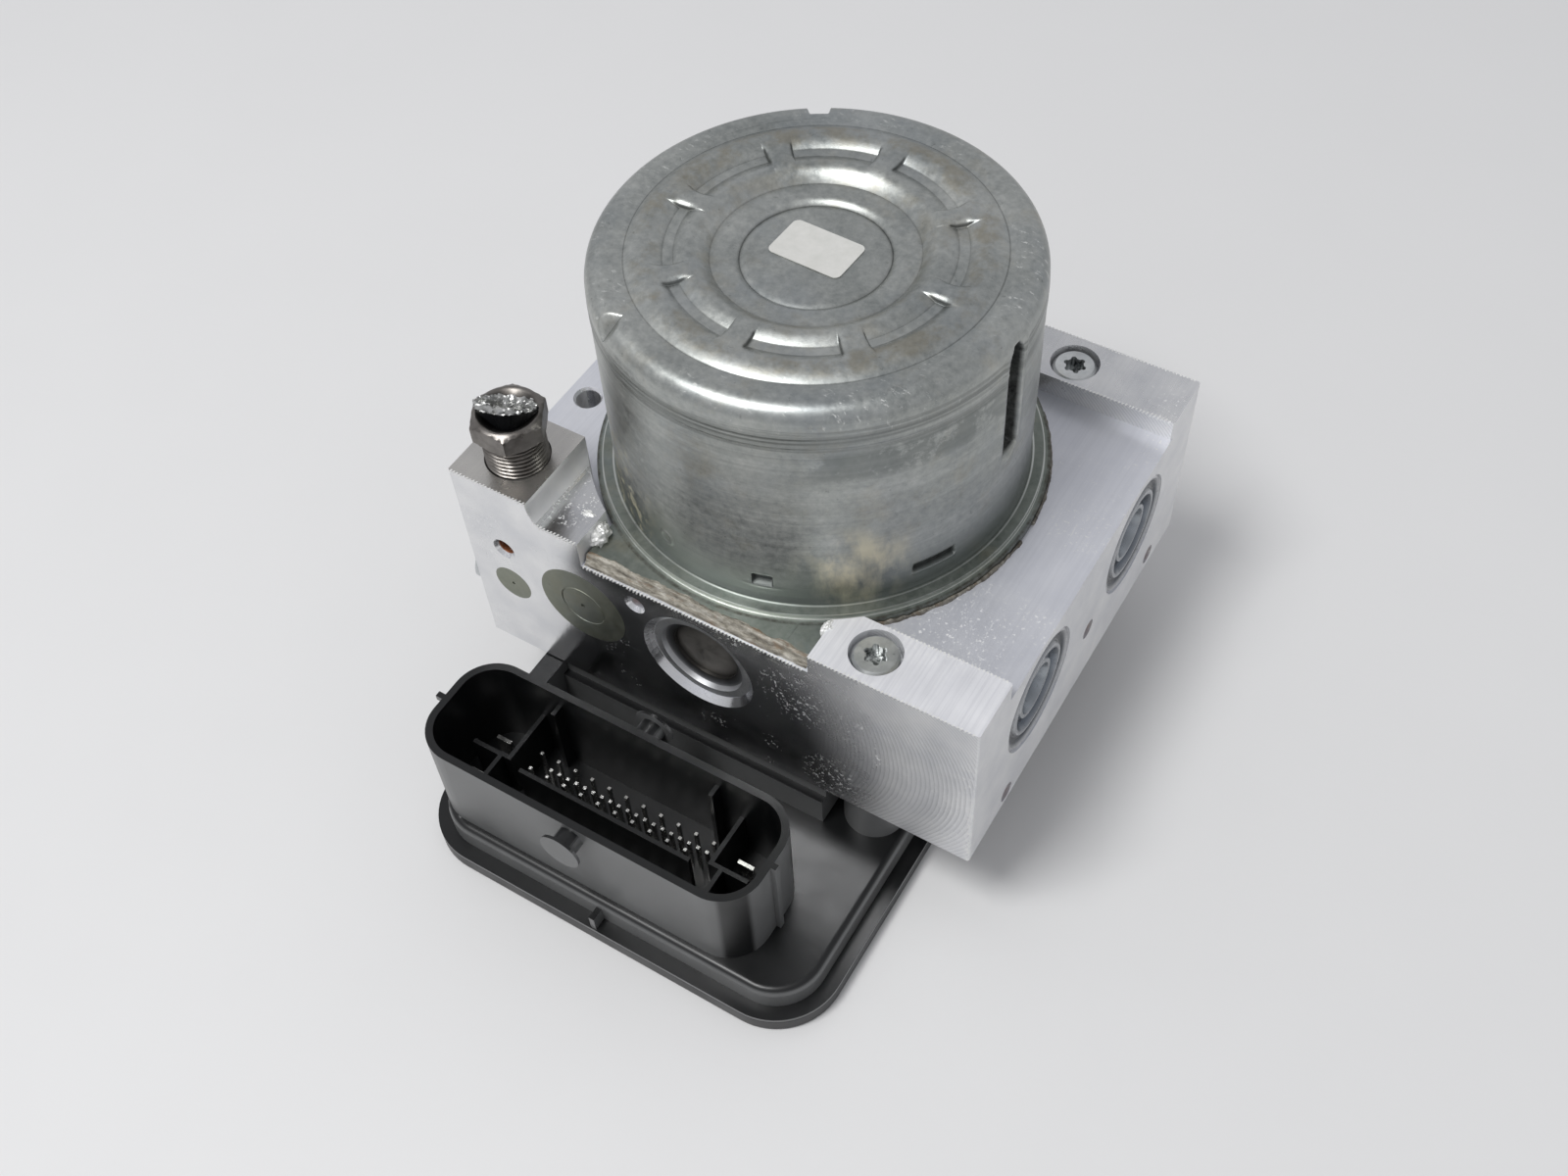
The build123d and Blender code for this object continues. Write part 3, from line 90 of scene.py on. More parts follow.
# ------------------------------------------------------------------ numbers that a user would change
def length(name, description, size):
    """Returns a property that holds a length. Its default is given in millimetres."""
    return FloatProperty(name=name, description=description, default=size * MM, unit="LENGTH",
                         subtype="DISTANCE")


class CanSizes(bpy.types.PropertyGroup):
    radius: length("Can radius", "Outer radius of the drawn wall", 39.6)
    wall: length("Sheet thickness", "Thickness of the drawn sheet", 1.6)
    shoulder: length("Shoulder radius", "Radius that turns the wall into the top", 3.3)
    bead_height: length("Bead height", "How far the ring bead stands above the top", 0.8)
    dish_depth: length("Dish depth", "How far the middle lies below the top", 1.7)
    recess_count: IntProperty(name="Arc recesses", description="Arc recesses pressed into the ring bead",
                              default=8, min=0, max=12)
    recess_depth: length("Recess depth", "Depth of the arc recesses below the bead", 1.15)
    groove_width: length("Groove width", "Width of the groove down the wall", 4.2)
    groove_depth: length("Groove depth", "Depth of the groove down the wall", 2.0)


class NutSizes(bpy.types.PropertyGroup):
    across_flats: length("Across flats", "Hexagon width over two flats", 13.0)
    thread_radius: length("Thread radius", "Outer radius of the thread", 6.0)
    pitch: length("Thread pitch", "Rise of the thread in one turn", 1.0)


class EdgeSizes(bpy.types.PropertyGroup):
    break_width: length("Edge break", "Width of the broken edges of the milled block", 0.22)
    moulded_width: length("Moulded edge", "Radius of the moulded plastic edges", 0.25)
    burr_pitch: length("Burr pitch", "Spacing of the teeth that the cutter left", 0.75)


class Colours(bpy.types.PropertyGroup):
    table: FloatVectorProperty(name="Table", description="Colour of the table top", subtype="COLOR",
                               size=3, min=0, max=1, default=(0.745, 0.743, 0.739))


# ------------------------------------------------------------------ mesh helpers
def smooth(low, high, x):
    """Returns 0 below low and 1 above high, with 3t^2 - 2t^3 between them."""
    t = np.clip((np.asarray(x, float) - low) / (high - low), 0, 1)
    return t * t * (3 - 2 * t)


def bump_at(x, middle, width):
    """Returns the bell exp(-((x - middle) / width)^2)."""
    return np.exp(-(((x - middle) / width) ** 2))


def value_noise(x, seed, pitch):
    """Returns smooth noise from -1 to 1: random values every pitch, joined by the 3t^2 - 2t^3 curve."""
    knots = np.random.default_rng(seed).uniform(-1, 1, 4096)
    t = np.asarray(x, float) / pitch
    k = np.floor(t).astype(int)
    f = t - k
    f = f * f * (3 - 2 * f)
    return knots[k % 4096] * (1 - f) + knots[(k + 1) % 4096] * f


def angles_with(step, *dense):
    """Returns one turn in degrees at an even step, with finer steps where (middle, half, fine) asks."""
    rows = [np.arange(-180, 180, step)]
    for middle, half, fine in dense:
        rows.append(np.arange(middle - half, middle + half + fine / 2, fine))
    a = (np.concatenate(rows) + 180) % 360 - 180
    a = np.unique(np.round(a, 3))
    return a[np.concatenate([[True], np.diff(a) > 0.04])]


def finish_mesh(name, vertices, faces, sharp=35, dirt_and_shade=None):
    """Makes one object from millimetre vertices, smooth but for edges sharper than an angle. Its last
    argument is a value per vertex from 0, clean, to 1, dark, that the finishes read: dirt on some pieces,
    painted shade in the hollows of others."""
    mesh = bpy.data.meshes.new(name)
    mesh.from_pydata((np.asarray(vertices, float) * MM).tolist(), [], faces)
    if dirt_and_shade is not None:
        darkening = mesh.attributes.new("dirt_and_shade", "FLOAT", "POINT")
        darkening.data.foreach_set("value", np.asarray(dirt_and_shade, np.float32))
    mesh.validate()
    mesh.shade_smooth()
    mesh.set_sharp_from_angle(angle=radians(sharp))
    made = bpy.data.objects.new(name, mesh)
    bpy.context.scene.collection.objects.link(made)
    return made


def quads(rows, columns, close_rows=False, close_columns=True):
    """Returns the quads of a grid, each joining row i, i + 1 and column j, j + 1."""
    i = np.arange(rows if close_rows else rows - 1)
    j = np.arange(columns if close_columns else columns - 1)
    i, j = np.meshgrid(i, j, indexing="ij")
    a = (i * columns + j).ravel()
    b = (i * columns + (j + 1) % columns).ravel()
    c = (((i + 1) % rows) * columns + (j + 1) % columns).ravel()
    d = (((i + 1) % rows) * columns + j).ravel()
    return np.stack([a, b, c, d], 1)


def turned(name, grid, sharp=35, ends=(True, True), close_rows=False, dirt_and_shade=None):
    """Makes a closed skin from grid[row, column, xyz], columns round the axis, rows along the profile.
    Each open end row is closed by a fan to its middle point."""
    rows, columns = grid.shape[:2]
    points = grid.reshape(-1, 3)
    darkening = np.zeros(len(points)) if dirt_and_shade is None else dirt_and_shade.reshape(-1)
    faces = quads(rows, columns, close_rows).tolist()
    for wanted, row in zip(ends, (0, rows - 1)):
        if not wanted or close_rows:
            continue
        ring = np.arange(columns) + row * columns
        middle = len(points)
        points = np.vstack([points, grid[row].mean(0)])
        darkening = np.append(darkening, 0.0)
        nxt = np.roll(ring, -1)
        fan = np.stack([np.full(columns, middle), *((nxt, ring) if row == 0 else (ring, nxt))], 1)
        faces += fan.tolist()
    return finish_mesh(name, points, faces, sharp, darkening)


def lumps(name, grids, sharp, capped=True, dirt_and_shade_rows=None):
    """Makes one piece from grids that are closed round. If capped, a face closes each end row."""
    faces, count = [], 0
    for grid in grids:
        rows, columns = grid.shape[:2]
        faces += (quads(rows, columns) + count).tolist()
        if capped:
            ring = np.arange(columns) + count
            faces += [ring[::-1].tolist(), (ring + (rows - 1) * columns).tolist()]
        count += rows * columns
    darkening = None if dirt_and_shade_rows is None else np.concatenate([
        np.broadcast_to(dirt_and_shade, grid.shape[:2]).ravel() for dirt_and_shade, grid in zip(dirt_and_shade_rows, grids)])
    return outwards(finish_mesh(name, np.vstack([g.reshape(-1, 3) for g in grids]), faces, sharp, darkening))


def outwards(made):
    """Merges the doubled points of a piece made of closed lumps and turns its faces outwards."""
    work = bmesh.new()
    work.from_mesh(made.data)
    bmesh.ops.remove_doubles(work, verts=work.verts, dist=1e-7)
    bmesh.ops.recalc_face_normals(work, faces=work.faces)
    work.to_mesh(made.data)
    work.free()
    return made


def polar(radius, angle, height):
    """Returns x, y, z points in the last axis from radius, angle in radians and height."""
    radius, angle, height = np.broadcast_arrays(radius, angle, height)
    return np.stack([radius * np.cos(angle), radius * np.sin(angle), height], -1)


def closed_copy(node, name, flat=False, angle=32):
    """Copies a solid's triangles, merges its points, joins its flat faces if asked, and shades it."""
    made = bpy.data.objects.new(name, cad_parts[node].data.copy())
    bpy.context.scene.collection.objects.link(made)
    work = bmesh.new()
    work.from_mesh(made.data)
    bmesh.ops.remove_doubles(work, verts=work.verts, dist=2e-6)
    if flat:
        bmesh.ops.dissolve_limit(work, angle_limit=radians(0.6), verts=work.verts, edges=work.edges)
    work.to_mesh(made.data)
    work.free()
    made.data.materials.clear()
    made.data.shade_smooth()
    made.data.set_sharp_from_angle(angle=radians(angle))
    return made


def merged_copy(node, name, width, angle=32):
    """Copies a solid with flat faces and breaks its edges with a bevel."""
    made = closed_copy(node, name, True, angle)
    bevel = made.modifiers.new("edge break", "BEVEL")
    bevel.width = width
    bevel.segments = 2
    bevel.limit_method = "ANGLE"
    bevel.angle_limit = radians(angle)
    bevel.miter_outer = "MITER_ARC"
    bevel.use_clamp_overlap = True
    weigh = made.modifiers.new("flat faces first", "WEIGHTED_NORMAL")
    weigh.keep_sharp = True
    return made


def stand_for(piece, material, slot_name, *nodes, body="unit"):
    """Gives a piece its material and its body, and hides the solids it stands for. slot_name is not used."""
    piece.data.materials.clear()
    piece.data.materials.append(material)
    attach(piece, body)
    if nodes:
        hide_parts(*nodes)


# ------------------------------------------------------------------ how a finish is written
def rgb(code):
    """Turns a #rrggbb screen colour into the linear colour that a shader takes."""
    c = np.array([int(code[i:i + 2], 16) for i in (1, 3, 5)]) / 255
    c = np.where(c <= 0.04045, c / 12.92, ((c + 0.055) / 1.055) ** 2.4)
    return (*c.tolist(), 1.0)


def add(tree, kind, output, settings=None, **links):
    """Adds one node and returns one of its outputs as a field. settings go on the node, and links name its
    inputs, or number them as i0 and i1: a field is linked, and any other value is set."""
    made = tree.nodes.new("ShaderNode" + kind)
    for key, value in (settings or {}).items():
        setattr(made, key, value)
    for key, value in links.items():
        numbered = key[0] == "i" and key[1:].isdigit()
        socket = made.inputs[int(key[1:]) if numbered else key.replace("_", " ")]
        if isinstance(value, Field):
            tree.links.new(value.socket, socket)
        else:
            socket.default_value = value
    return Field(tree, made.outputs[output])


class Field:
    """A number or colour that changes over a surface. Sums and products of fields are written as such, and
    a | b is the larger of the two."""
    __add__ = __radd__ = lambda self, other: self.math("ADD", other)
    __mul__ = __rmul__ = lambda self, other: self.math("MULTIPLY", other)
    __sub__ = lambda self, other: self.math("SUBTRACT", other)
    __rsub__ = lambda self, other: self.math("MULTIPLY_ADD", -1.0, other)
    __truediv__ = lambda self, other: self.math("DIVIDE", other)
    __or__ = lambda self, other: self.math("MAXIMUM", other)
    __abs__ = lambda self: self.math("ABSOLUTE")

    def __init__(self, tree, socket):
        self.tree, self.socket = tree, socket

    def math(self, operation, *others):
        """Any other operation on this field and more fields or numbers."""
        values = {f"i{n}": value for n, value in enumerate((self, *others))}
        return add(self.tree, "Math", "Value", {"operation": operation}, **values)

    def step(self, low, high):
        """A smooth step from 0 at low to 1 at high. low may be the larger."""
        return add(self.tree, "MapRange", "Result", {"interpolation_type": "SMOOTHSTEP"},
                   Value=self, i1=low, i2=high)

    def within(self, low, high, soft):
        """A mask that is 1 between low and high, with edges twice as wide as soft."""
        return self.step(low - soft, low + soft) * self.step(high + soft, high - soft)

    def toned(self, low, high, *tones):
        """Hex colours or grey levels, evenly spaced from low to high."""
        made = add(self.tree, "ValToRGB", "Color", Fac=self)
        stops = made.socket.node.color_ramp.elements
        while len(stops) < len(tones):
            stops.new(0.5)
        for n, (stop, tone) in enumerate(zip(stops, tones)):
            stop.position = low + (high - low) * n / max(len(tones) - 1, 1)
            stop.color = rgb(tone) if isinstance(tone, str) else (tone, tone, tone, 1)
        return made

    def painted(self, colour, mask):
        """A hex colour laid over this one where a mask is 1."""
        return add(self.tree, "Mix", 2, {"data_type": "RGBA"}, i0=mask, i6=self, i7=rgb(colour))


def around(a, b):
    """Returns the distance from an axis, given the two coordinates across it."""
    return (a * a + b * b).math("SQRT")


class Surface:
    """A material while it is made: one Principled shader, and patterns in object coordinates."""

    def __init__(self, name, **shader):
        self.material = bpy.data.materials.new(name)
        self.material.use_nodes = True
        self.tree = self.material.node_tree
        self.skin = self.tree.nodes["Principled BSDF"]
        for key, value in shader.items():
            self.skin.inputs[key.replace("_", " ")].default_value = value
        self.where = add(self.tree, "TexCoord", "Object")

    def give(self, **fields):
        """Links fields to the shader's sockets."""
        for key, value in fields.items():
            self.tree.links.new(value.socket, self.skin.inputs[key.replace("_", " ")])

    def noise(self, size, detail=4.0, rough=0.55, stretch=(1, 1, 1)):
        """Noise from 0 to 1. Its largest blotches are size mm across, drawn out along the axes by stretch."""
        scale = tuple(1000.0 / (size * k) for k in stretch)
        place = add(self.tree, "Mapping", "Vector", Vector=self.where, Scale=scale)
        return add(self.tree, "TexNoise", "Fac", Vector=place, Scale=1.0, Detail=detail, Roughness=rough)

    def millimetres(self):
        """Returns x, y and z in millimetres."""
        split = add(self.tree, "SeparateXYZ", "X", Vector=self.where).socket.node
        return [Field(self.tree, split.outputs[axis]) * 1000.0 for axis in "XYZ"]

    def facing(self, axis):
        """How far a face looks along an axis, from -1 to 1."""
        normal = add(self.tree, "NewGeometry", "True Normal")
        return add(self.tree, "SeparateXYZ", axis, Vector=normal)

    def spot(self, centre, radius):
        """A mask that is 1 at centre, in mm, and falls to 0 at radius."""
        middle = tuple(c * MM for c in centre)
        far = add(self.tree, "VectorMath", "Value", {"operation": "DISTANCE"}, i0=self.where, i1=middle)
        return far.step(radius * MM, radius * 0.35 * MM)

    def dirt_and_shade(self):
        """The dirt and painted shade that a piece holds, from 0 to 1."""
        return add(self.tree, "Attribute", "Fac", {"attribute_name": "dirt_and_shade"})

    def relief(self, height, depth):
        """Raises the surface by a height field times depth, in mm."""
        self.give(Normal=add(self.tree, "Bump", "Normal", Height=height, Strength=1.0, Distance=depth * MM))


finishes = {}


def finish(name, **shader):
    """Marks a function that dresses a surface, and keeps it as the finish of this name."""
    def keep(dress):
        finishes[name] = (dress, (), shader)
        return dress
    return keep


def get_material(name):
    """Returns a material, made the first time it is asked for."""
    found = bpy.data.materials.get(name)
    if found:
        return found
    dress, values, shader = finishes[name]
    surface = Surface(name, **shader)
    dress(surface, *values)
    return surface.material


# ------------------------------------------------------------------ the block's finishes
cutter_radius = 30.0
cutter_feed = 0.9
block_corner = (57.4, -46.6)
# where the block was knocked or rubbed: middle and radius
knocks = (((21, -46.6, 48), 10), ((29, -46.6, 27), 9), ((43, -27, 58.5), 16), ((52, 6, 58.5), 9),
          ((-30, -40, 64.5), 7), ((57.4, -46.6, 27), 9))


@finish("aluminium_face_milled")
def milled_aluminium(s):
    """Forged aluminium, face milled: bright metal. The upright faces carry the arcs of a 60 mm cutter and the
    tops straight marks, each lighter or darker than the next, so reflections smear across them. Where the
    marks are coarse the metal looks frosted, which a lower Metallic gives. The scuffs are whiter and duller
    specks, and two small holes show the copper of the balls that close them."""
    x, y, z = s.millimetres()
    up = s.facing("Z").step(0.6, 0.8)
    pump_side = abs(s.facing("Y")).step(0.6, 0.8)
    sideways = s.facing("X").step(0.6, 0.8)
    rail = up * z.step(61.5, 62.5) * x.step(23, 24)
    near_rail = rail * y.step(-33.9, -34.2)
    far_rail = rail * y.step(33.9, 34.2)
    pad = up * z.step(69.0, 69.5)
    recess = up * z.step(60.5, 59.5)

    # cutter arcs, strong towards the accumulator end, and straight marks on the tops
    drop = z - 40.0
    arc = ((cutter_radius ** 2 - drop * drop) | 1.0).math("SQRT")
    feed = x - arc + s.noise(9, 2.0) * 0.8
    swirl = (feed * (2 * pi / cutter_feed)).math("SINE") * pump_side * (x.step(14, 34) * 0.88 + 0.12)
    lines = s.noise(0.8, 4.0, 0.7, (1, 60, 1))
    straight = (lines - 0.5) * up * (near_rail * 0.7 + 0.3)
    s.relief(swirl * 0.07 + straight * 0.8 + s.noise(0.25, 3.0, 0.7) * 0.03, 0.1)

    # scuffs: white specks in loose clusters, thickest where the part was knocked
    loose = s.noise(17, 4.0, 0.6).toned(0.54, 0.66, 0.0, 1.0)
    for centre, radius in knocks:
        loose = loose | s.spot(centre, radius)
    specks = s.noise(0.8, 5.0, 0.72).toned(0.58, 0.615, 0.0, 1.0)
    scratches = s.noise(2.2, 4.0, 0.6, (0.25, 1.6, 1.0)).toned(0.66, 0.69, 0.0, 0.7)
    corner = around(x - block_corner[0], y - block_corner[1]).step(1.5, 0.6) * z.step(50, 32)
    chipped = corner * s.noise(0.9, 4.0, 0.7).toned(0.47, 0.54, 0.0, 1.0)
    scuffs = loose * (specks | scratches) | chipped

    # colour: cooler in the recess, warm and stained on the pads, streaked on the rails
    ball_hole = around(x + 43.4, z - 51.8).step(1.85, 1.7) * abs(y).step(46.25, 45.9)
    colour = s.noise(9, 5.0).toned(0.3, 0.7, "#D6D7DA", "#EBEBEB")
    for over, mask in (("#D6D8E2", recess * 0.6), ("#C2BDB3", pad * 0.6),
                       ("#83858E", up * lines.toned(0.42, 0.56, 1.0, 0.0) * (near_rail * 0.22 + 0.06)),
                       ("#F7F7FC", near_rail * 0.5), ("#8B8E90", swirl.step(0.1, 2.6)),
                       ("#8A5638", ball_hole), ("#F1F1EF", scuffs * 0.7)):
        colour = colour.painted(over, mask)

    haze = scuffs * 0.65
    for mask, share in ((pump_side * (x + z * 0.35).step(34, 60), 0.54), (near_rail, 0.50), (far_rail, 0.20),
                        (recess, 0.48), (sideways, 0.62), (pad, 0.10)):
        haze = haze | mask * share
    rough = s.noise(5, 5.0).toned(0.3, 0.75, 0.15, 0.26)
    for mask, more in ((near_rail, 0.34), (far_rail, 0.08), (recess, 0.14), (pad, 0.06), (scuffs, 0.3),
                       (ball_hole, 0.2), (pump_side * x.step(18, 50), 0.16), (sideways, 0.14)):
        rough = rough + mask * more
    s.give(Base_Color=colour, Metallic=1.0 - haze, Roughness=rough)


@finish("aluminium_torn_burr", Metallic=0.45)
def torn_burr(s):
    """Aluminium torn over an edge by the cutter: bright, rough flakes that look white from every side."""
    s.give(Base_Color=s.noise(0.8, 4.0).toned(0.3, 0.7, "#E4E4E2", "#FAFAF8"),
           Roughness=s.noise(0.5, 3.0).toned(0.3, 0.7, 0.30, 0.55))
    s.relief(s.noise(0.6, 4.0, 0.7), 0.10)


# ------------------------------------------------------------------ zinc plated steel
def dull_zinc(s, dark, pale, low, high, marks=None):
    """Zinc plated steel: dull grey, mottled coarse and fine, with cool patches, faint yellow stains and dark
    specks. marks may add the traces of one piece to the colour and the roughness."""
    fine = s.noise(1.4, 6.0, 0.72)
    colour = (fine * 0.5 + s.noise(15, 5.0, 0.55) * 0.5).toned(0.34, 0.64, dark, pale)
    colour = colour.painted("#939BA3", s.noise(21, 4.0, 0.6).toned(0.50, 0.66, 0.0, 0.30))
    colour = colour.painted("#A79B7D", s.noise(11, 6.0, 0.66).toned(0.55, 0.72, 0.0, 0.28))
    colour = colour.painted("#5E625F", s.noise(1.7, 4.0, 0.7).toned(0.65, 0.70, 0.0, 0.35))
    rough = (fine - 0.5) * 0.25 + s.noise(6, 6.0, 0.65).toned(0.3, 0.75, low, high)
    if marks:
        colour, rough = marks(s, colour, rough)
    s.give(Base_Color=colour, Roughness=rough)
    s.relief(s.noise(0.9, 6.0, 0.75), 0.022)


def dirt_and_shade_grain(s):
    """The grain shared by the dirt and the painted shade on all zinc plated pieces."""
    return s.noise(1.6, 5.0, 0.7)


def can_marks(s, colour, rough):
    """What forming and use left on the can, with light and shade painted on it: brown stains on the bead,
    pale scratches round the rim, fine drawn lines and a darker drawn band below the shoulder, darker mottling
    high on the wall towards the groove, a painted reflection as a bright warm patch low on the wall, a wall
    painted darker towards its foot, pale crust along the foot, and painted shade, mottled like dirt, in the
    groove and the pressed corners."""
    x, y, z = s.millimetres()
    r = around(x, y)
    angle = y.math("ARCTAN2", x) * (180 / pi)
    on_top = z.step(106.5, 108.0)
    wall = 1.0 - on_top
    patch = s.noise(6, 6.0, 0.68)
    drawn = s.noise(1.1, 3.0, 0.6, (80, 80, 1))
    bead = r.within(26.8, 31.6, 1.0) | r.within(17.8, 20.6, 0.8) * 0.6
    scratched = r.step(32.8, 34.0) * z.step(98.0, 106.0) * s.noise(13, 4.0).toned(0.48, 0.60, 0.0, 1.0)
    scratched = scratched * s.noise(2.0, 5.0, 0.75, (1.0, 0.35, 1.0)).toned(0.60, 0.635, 0.0, 1.0)
    # darker, a little glossier mottling high on the wall towards the groove
    dark_mottle = wall * angle.within(-62, -6, 9) * z.within(93.5, 100.5, 1.5) * patch.toned(0.40, 0.50, 0.0, 0.62)
    # painted reflection: a warm pale patch low on the wall
    painted_reflection = s.spot((25.0, -30.6, 70.5), 13) * s.noise(7, 5.0, 0.6, (1, 1, 2)).toned(0.40, 0.58, 0.0, 0.75)
    crust = angle.within(-163, -112, 7) * z.step(90, 66)
    crust = crust * s.noise(2.6, 6.0, 0.75).toned(0.50, 0.585, 0.0, 1.0)
    darkening = s.dirt_and_shade()
    for over, mask in (("#8D8165", bead * on_top * patch.toned(0.44, 0.60, 0.0, 0.42)),
                       ("#E3E4E1", scratched * 0.75),
                       ("#6C6F6C", wall * z.within(99.2, 105.6, 0.7) * drawn.toned(0.40, 0.60, 0.62, 0.10)),
                       ("#6C6F6C", wall * drawn.toned(0.45, 0.60, 0.16, 0.0)),
                       # painted reflection: #7F8482 darkens the wall towards its foot, for the darker
                       # surroundings it reflects there
                       ("#6B706E", dark_mottle), ("#7F8482", wall * z.step(76, 61)), ("#EFE7CC", painted_reflection),
                       ("#CDC6AE", crust * 0.8),
                       # painted shade, mottled like dirt: near black in the can's creases and hollows
                       ("#181A19", darkening * dirt_and_shade_grain(s).toned(0.3, 0.62, 0.98, 0.72))):
        colour = colour.painted(over, mask)
    for mask, more in ((scratched, 0.2), (crust, 0.35), (painted_reflection, 0.02), (dark_mottle, -0.06), (darkening, 0.2)):
        rough = rough + mask * more
    return colour, rough


def collar_lines(s, colour, rough):
    """Painted highlights along the edges of the flange's collar, and dirt along its foot."""
    r = around(*s.millimetres()[:2])
    # painted highlights: thin pale rings along the collar's two edges
    painted_edge_highlights = r.within(40.0, 40.3, 0.1) | r.within(42.1, 42.4, 0.1)
    foot = r.within(42.9, 43.6, 0.2) * dirt_and_shade_grain(s).toned(0.3, 0.6, 0.9, 0.2)
    return colour.painted("#E2E4E0", painted_edge_highlights * 0.8).painted("#4A453C", foot), rough + painted_edge_highlights * -0.1


def socket_dirt(s, colour, rough):
    """Dirt in the sockets of the two screws on the rails."""
    x, y, z = s.millimetres()
    deep = around(x - screw_x, abs(y) - screw_y).step(2.4, 2.2) * z.step(62.4, 61.6)
    darkening = deep * dirt_and_shade_grain(s).toned(0.44, 0.56, 0.85, 0.0)
    return colour.painted("#26302E", darkening), rough + darkening * 0.1


# dark and pale tone, roughness band and marks
zincs = {
    # deep drawn can: satin grey with a slight green and yellow cast
    "zinc_plated_drawn_steel": ("#949896", "#C3C5C1", 0.34, 0.45, can_marks),
    # stamped plate: flatter and greener than the can
    "zinc_plated_stamped_steel": ("#717872", "#969B94", 0.38, 0.52, collar_lines),
    # cold headed screws and nut: paler and brighter, with dirt down in the screw sockets
    "zinc_plated_fastener": ("#C4C7C8", "#E8EAE9", 0.30, 0.44, socket_dirt),
    # pressed in plugs, phosphated: matt grey-green
    "zinc_pressed_plug": ("#83877A", "#97998C", 0.42, 0.55),
}


# ------------------------------------------------------------------ other metals
def plain_metal(s, dark, pale, low, high, grain=0.4, depth=0.006, stretch=(1, 1, 1)):
    """Machined metal: two close tones, a roughness band, fine grain, and dirt and painted shade where a piece
    holds any.
    """
    colour = s.noise(3, 5.0).toned(0.3, 0.7, dark, pale).painted("#191817", s.dirt_and_shade() * 0.9)
    s.give(Base_Color=colour, Roughness=s.noise(2, 5.0).toned(0.3, 0.7, low, high))
    s.relief(s.noise(grain, 4.0, 0.6, stretch), depth)


# dark and pale tone, roughness band, grain in mm, its depth in mm and its stretch
plain_metals = {
    # turned nut, zinc-nickel plated: brownish grey
    "steel_zinc_nickel_dark": ("#6C6864", "#8B8783", 0.26, 0.40, 0.3),
    # sealing balls with a copper skin: red-brown and half dull
    "copper_plated_ball": ("#7C4A32", "#9B6548", 0.28, 0.42),
    # ground steel: grey and bright
    "steel_ground": ("#A6A7A9", "#BFC0C1", 0.18, 0.30),
    # turned aluminium, anodised: soft pale grey
    "aluminium_anodised": ("#C3C4C6", "#D5D6D7", 0.28, 0.38),
    # stack of 0.5 mm steel sheets: dark grey with fine level lines
    "steel_laminations": ("#55575A", "#6C6E70", 0.35, 0.5, 0.5, 0.03, (60, 60, 1)),
    # copper wire under clear enamel: warm and glossy
    "copper_enamelled": ("#A8653A", "#C27D4D", 0.22, 0.34, 0.6, 0.02),
    # sintered bronze: dull yellow-brown with a slightly open grain
    "bronze_sintered": ("#8F6E3E", "#A98650", 0.40, 0.52, 0.3, 0.015),
    # tin plated contacts: pale and bright
    "tin_plated_copper": ("#C9C8C4", "#E0DFDB", 0.18, 0.30),
    # sheared pipe end: silver where the steel tore, in ridges
    "pipe_torn_steel": ("#8C8D8C", "#DCDCDA", 0.24, 0.42, 0.6, 0.10, (2.5, 1.0, 1.0)),
}


def ringed_metal(s, far, reach, tones, low, high):
    """Turned or pressed round part: tones from its axis outwards to reach, in mm, and a roughness band."""
    speck = s.noise(1.2, 5.0, 0.7).toned(0.58, 0.70, 0.0, 0.4)
    s.give(Base_Color=(far / reach).toned(0.0, 1.0, *tones).painted("#4C4C4B", speck),
           Roughness=s.noise(2.5, 5.0, 0.7).toned(0.3, 0.7, low, high))
    s.relief(s.noise(0.6, 4.0, 0.7), 0.01)


@finish("steel_pressed_stepped_cap", Metallic=1.0)
def stepped_cap(s):
    """Pressed cap in the accumulator bore: dark blue-grey steps between thin bright rings, painted ring by
    ring: the bright rings are painted highlights on the step edges and the darkest rings painted shade.
    """
    _, y, z = s.millimetres()
    # the pale tones are painted highlights and the darkest ones painted shade, ring by ring on the steps
    tones = ("#5C646E", "#5C646E", "#666E78", "#626973", "#5A616B", "#9DA2A7", "#B5B8BB", "#454A51",
             "#6A7078", "#BCBEC1", "#383B40", "#4B4F55", "#C9CACC", "#D2D3D4")
    ringed_metal(s, around(abs(y) - 20.9, z - 44.15), 13.0, tones, 0.22, 0.36)


@finish("steel_turned_pump_plug", Metallic=1.0)
def pump_plug_steel(s):
    """Turned plug over the pump: bright ring, dark step painted as shade, dull brownish disc in the middle.
    """
    x, _, z = s.millimetres()
    # the darkest tone, 7 mm out, is painted shade at the step
    tones = ("#A5A19B", "#A8A49E", "#A29E98", "#A6A29C", "#A9A59F", "#A39F99", "#8F8B86", "#4A4947",
             "#77787A", "#C7C8CA", "#D6D7D8", "#D0D1D2")
    ringed_metal(s, around(x, z - 44.3), 11.0, tones, 0.36, 0.55)


# ------------------------------------------------------------------ plastics and the like
def shroud_outside(s):
    """Returns a mask that is 1 on the housing's upright outside and 0 in the connector and on level faces:
    where a grey film and a painted sheen go.
    """
    x, y, _ = s.millimetres()
    inside = x.within(-43.2, 29.3, 0.3) * y.within(-81.4, -59.1, 0.3)
    return 1.0 - (inside | s.facing("Z").step(0.5, 0.8))


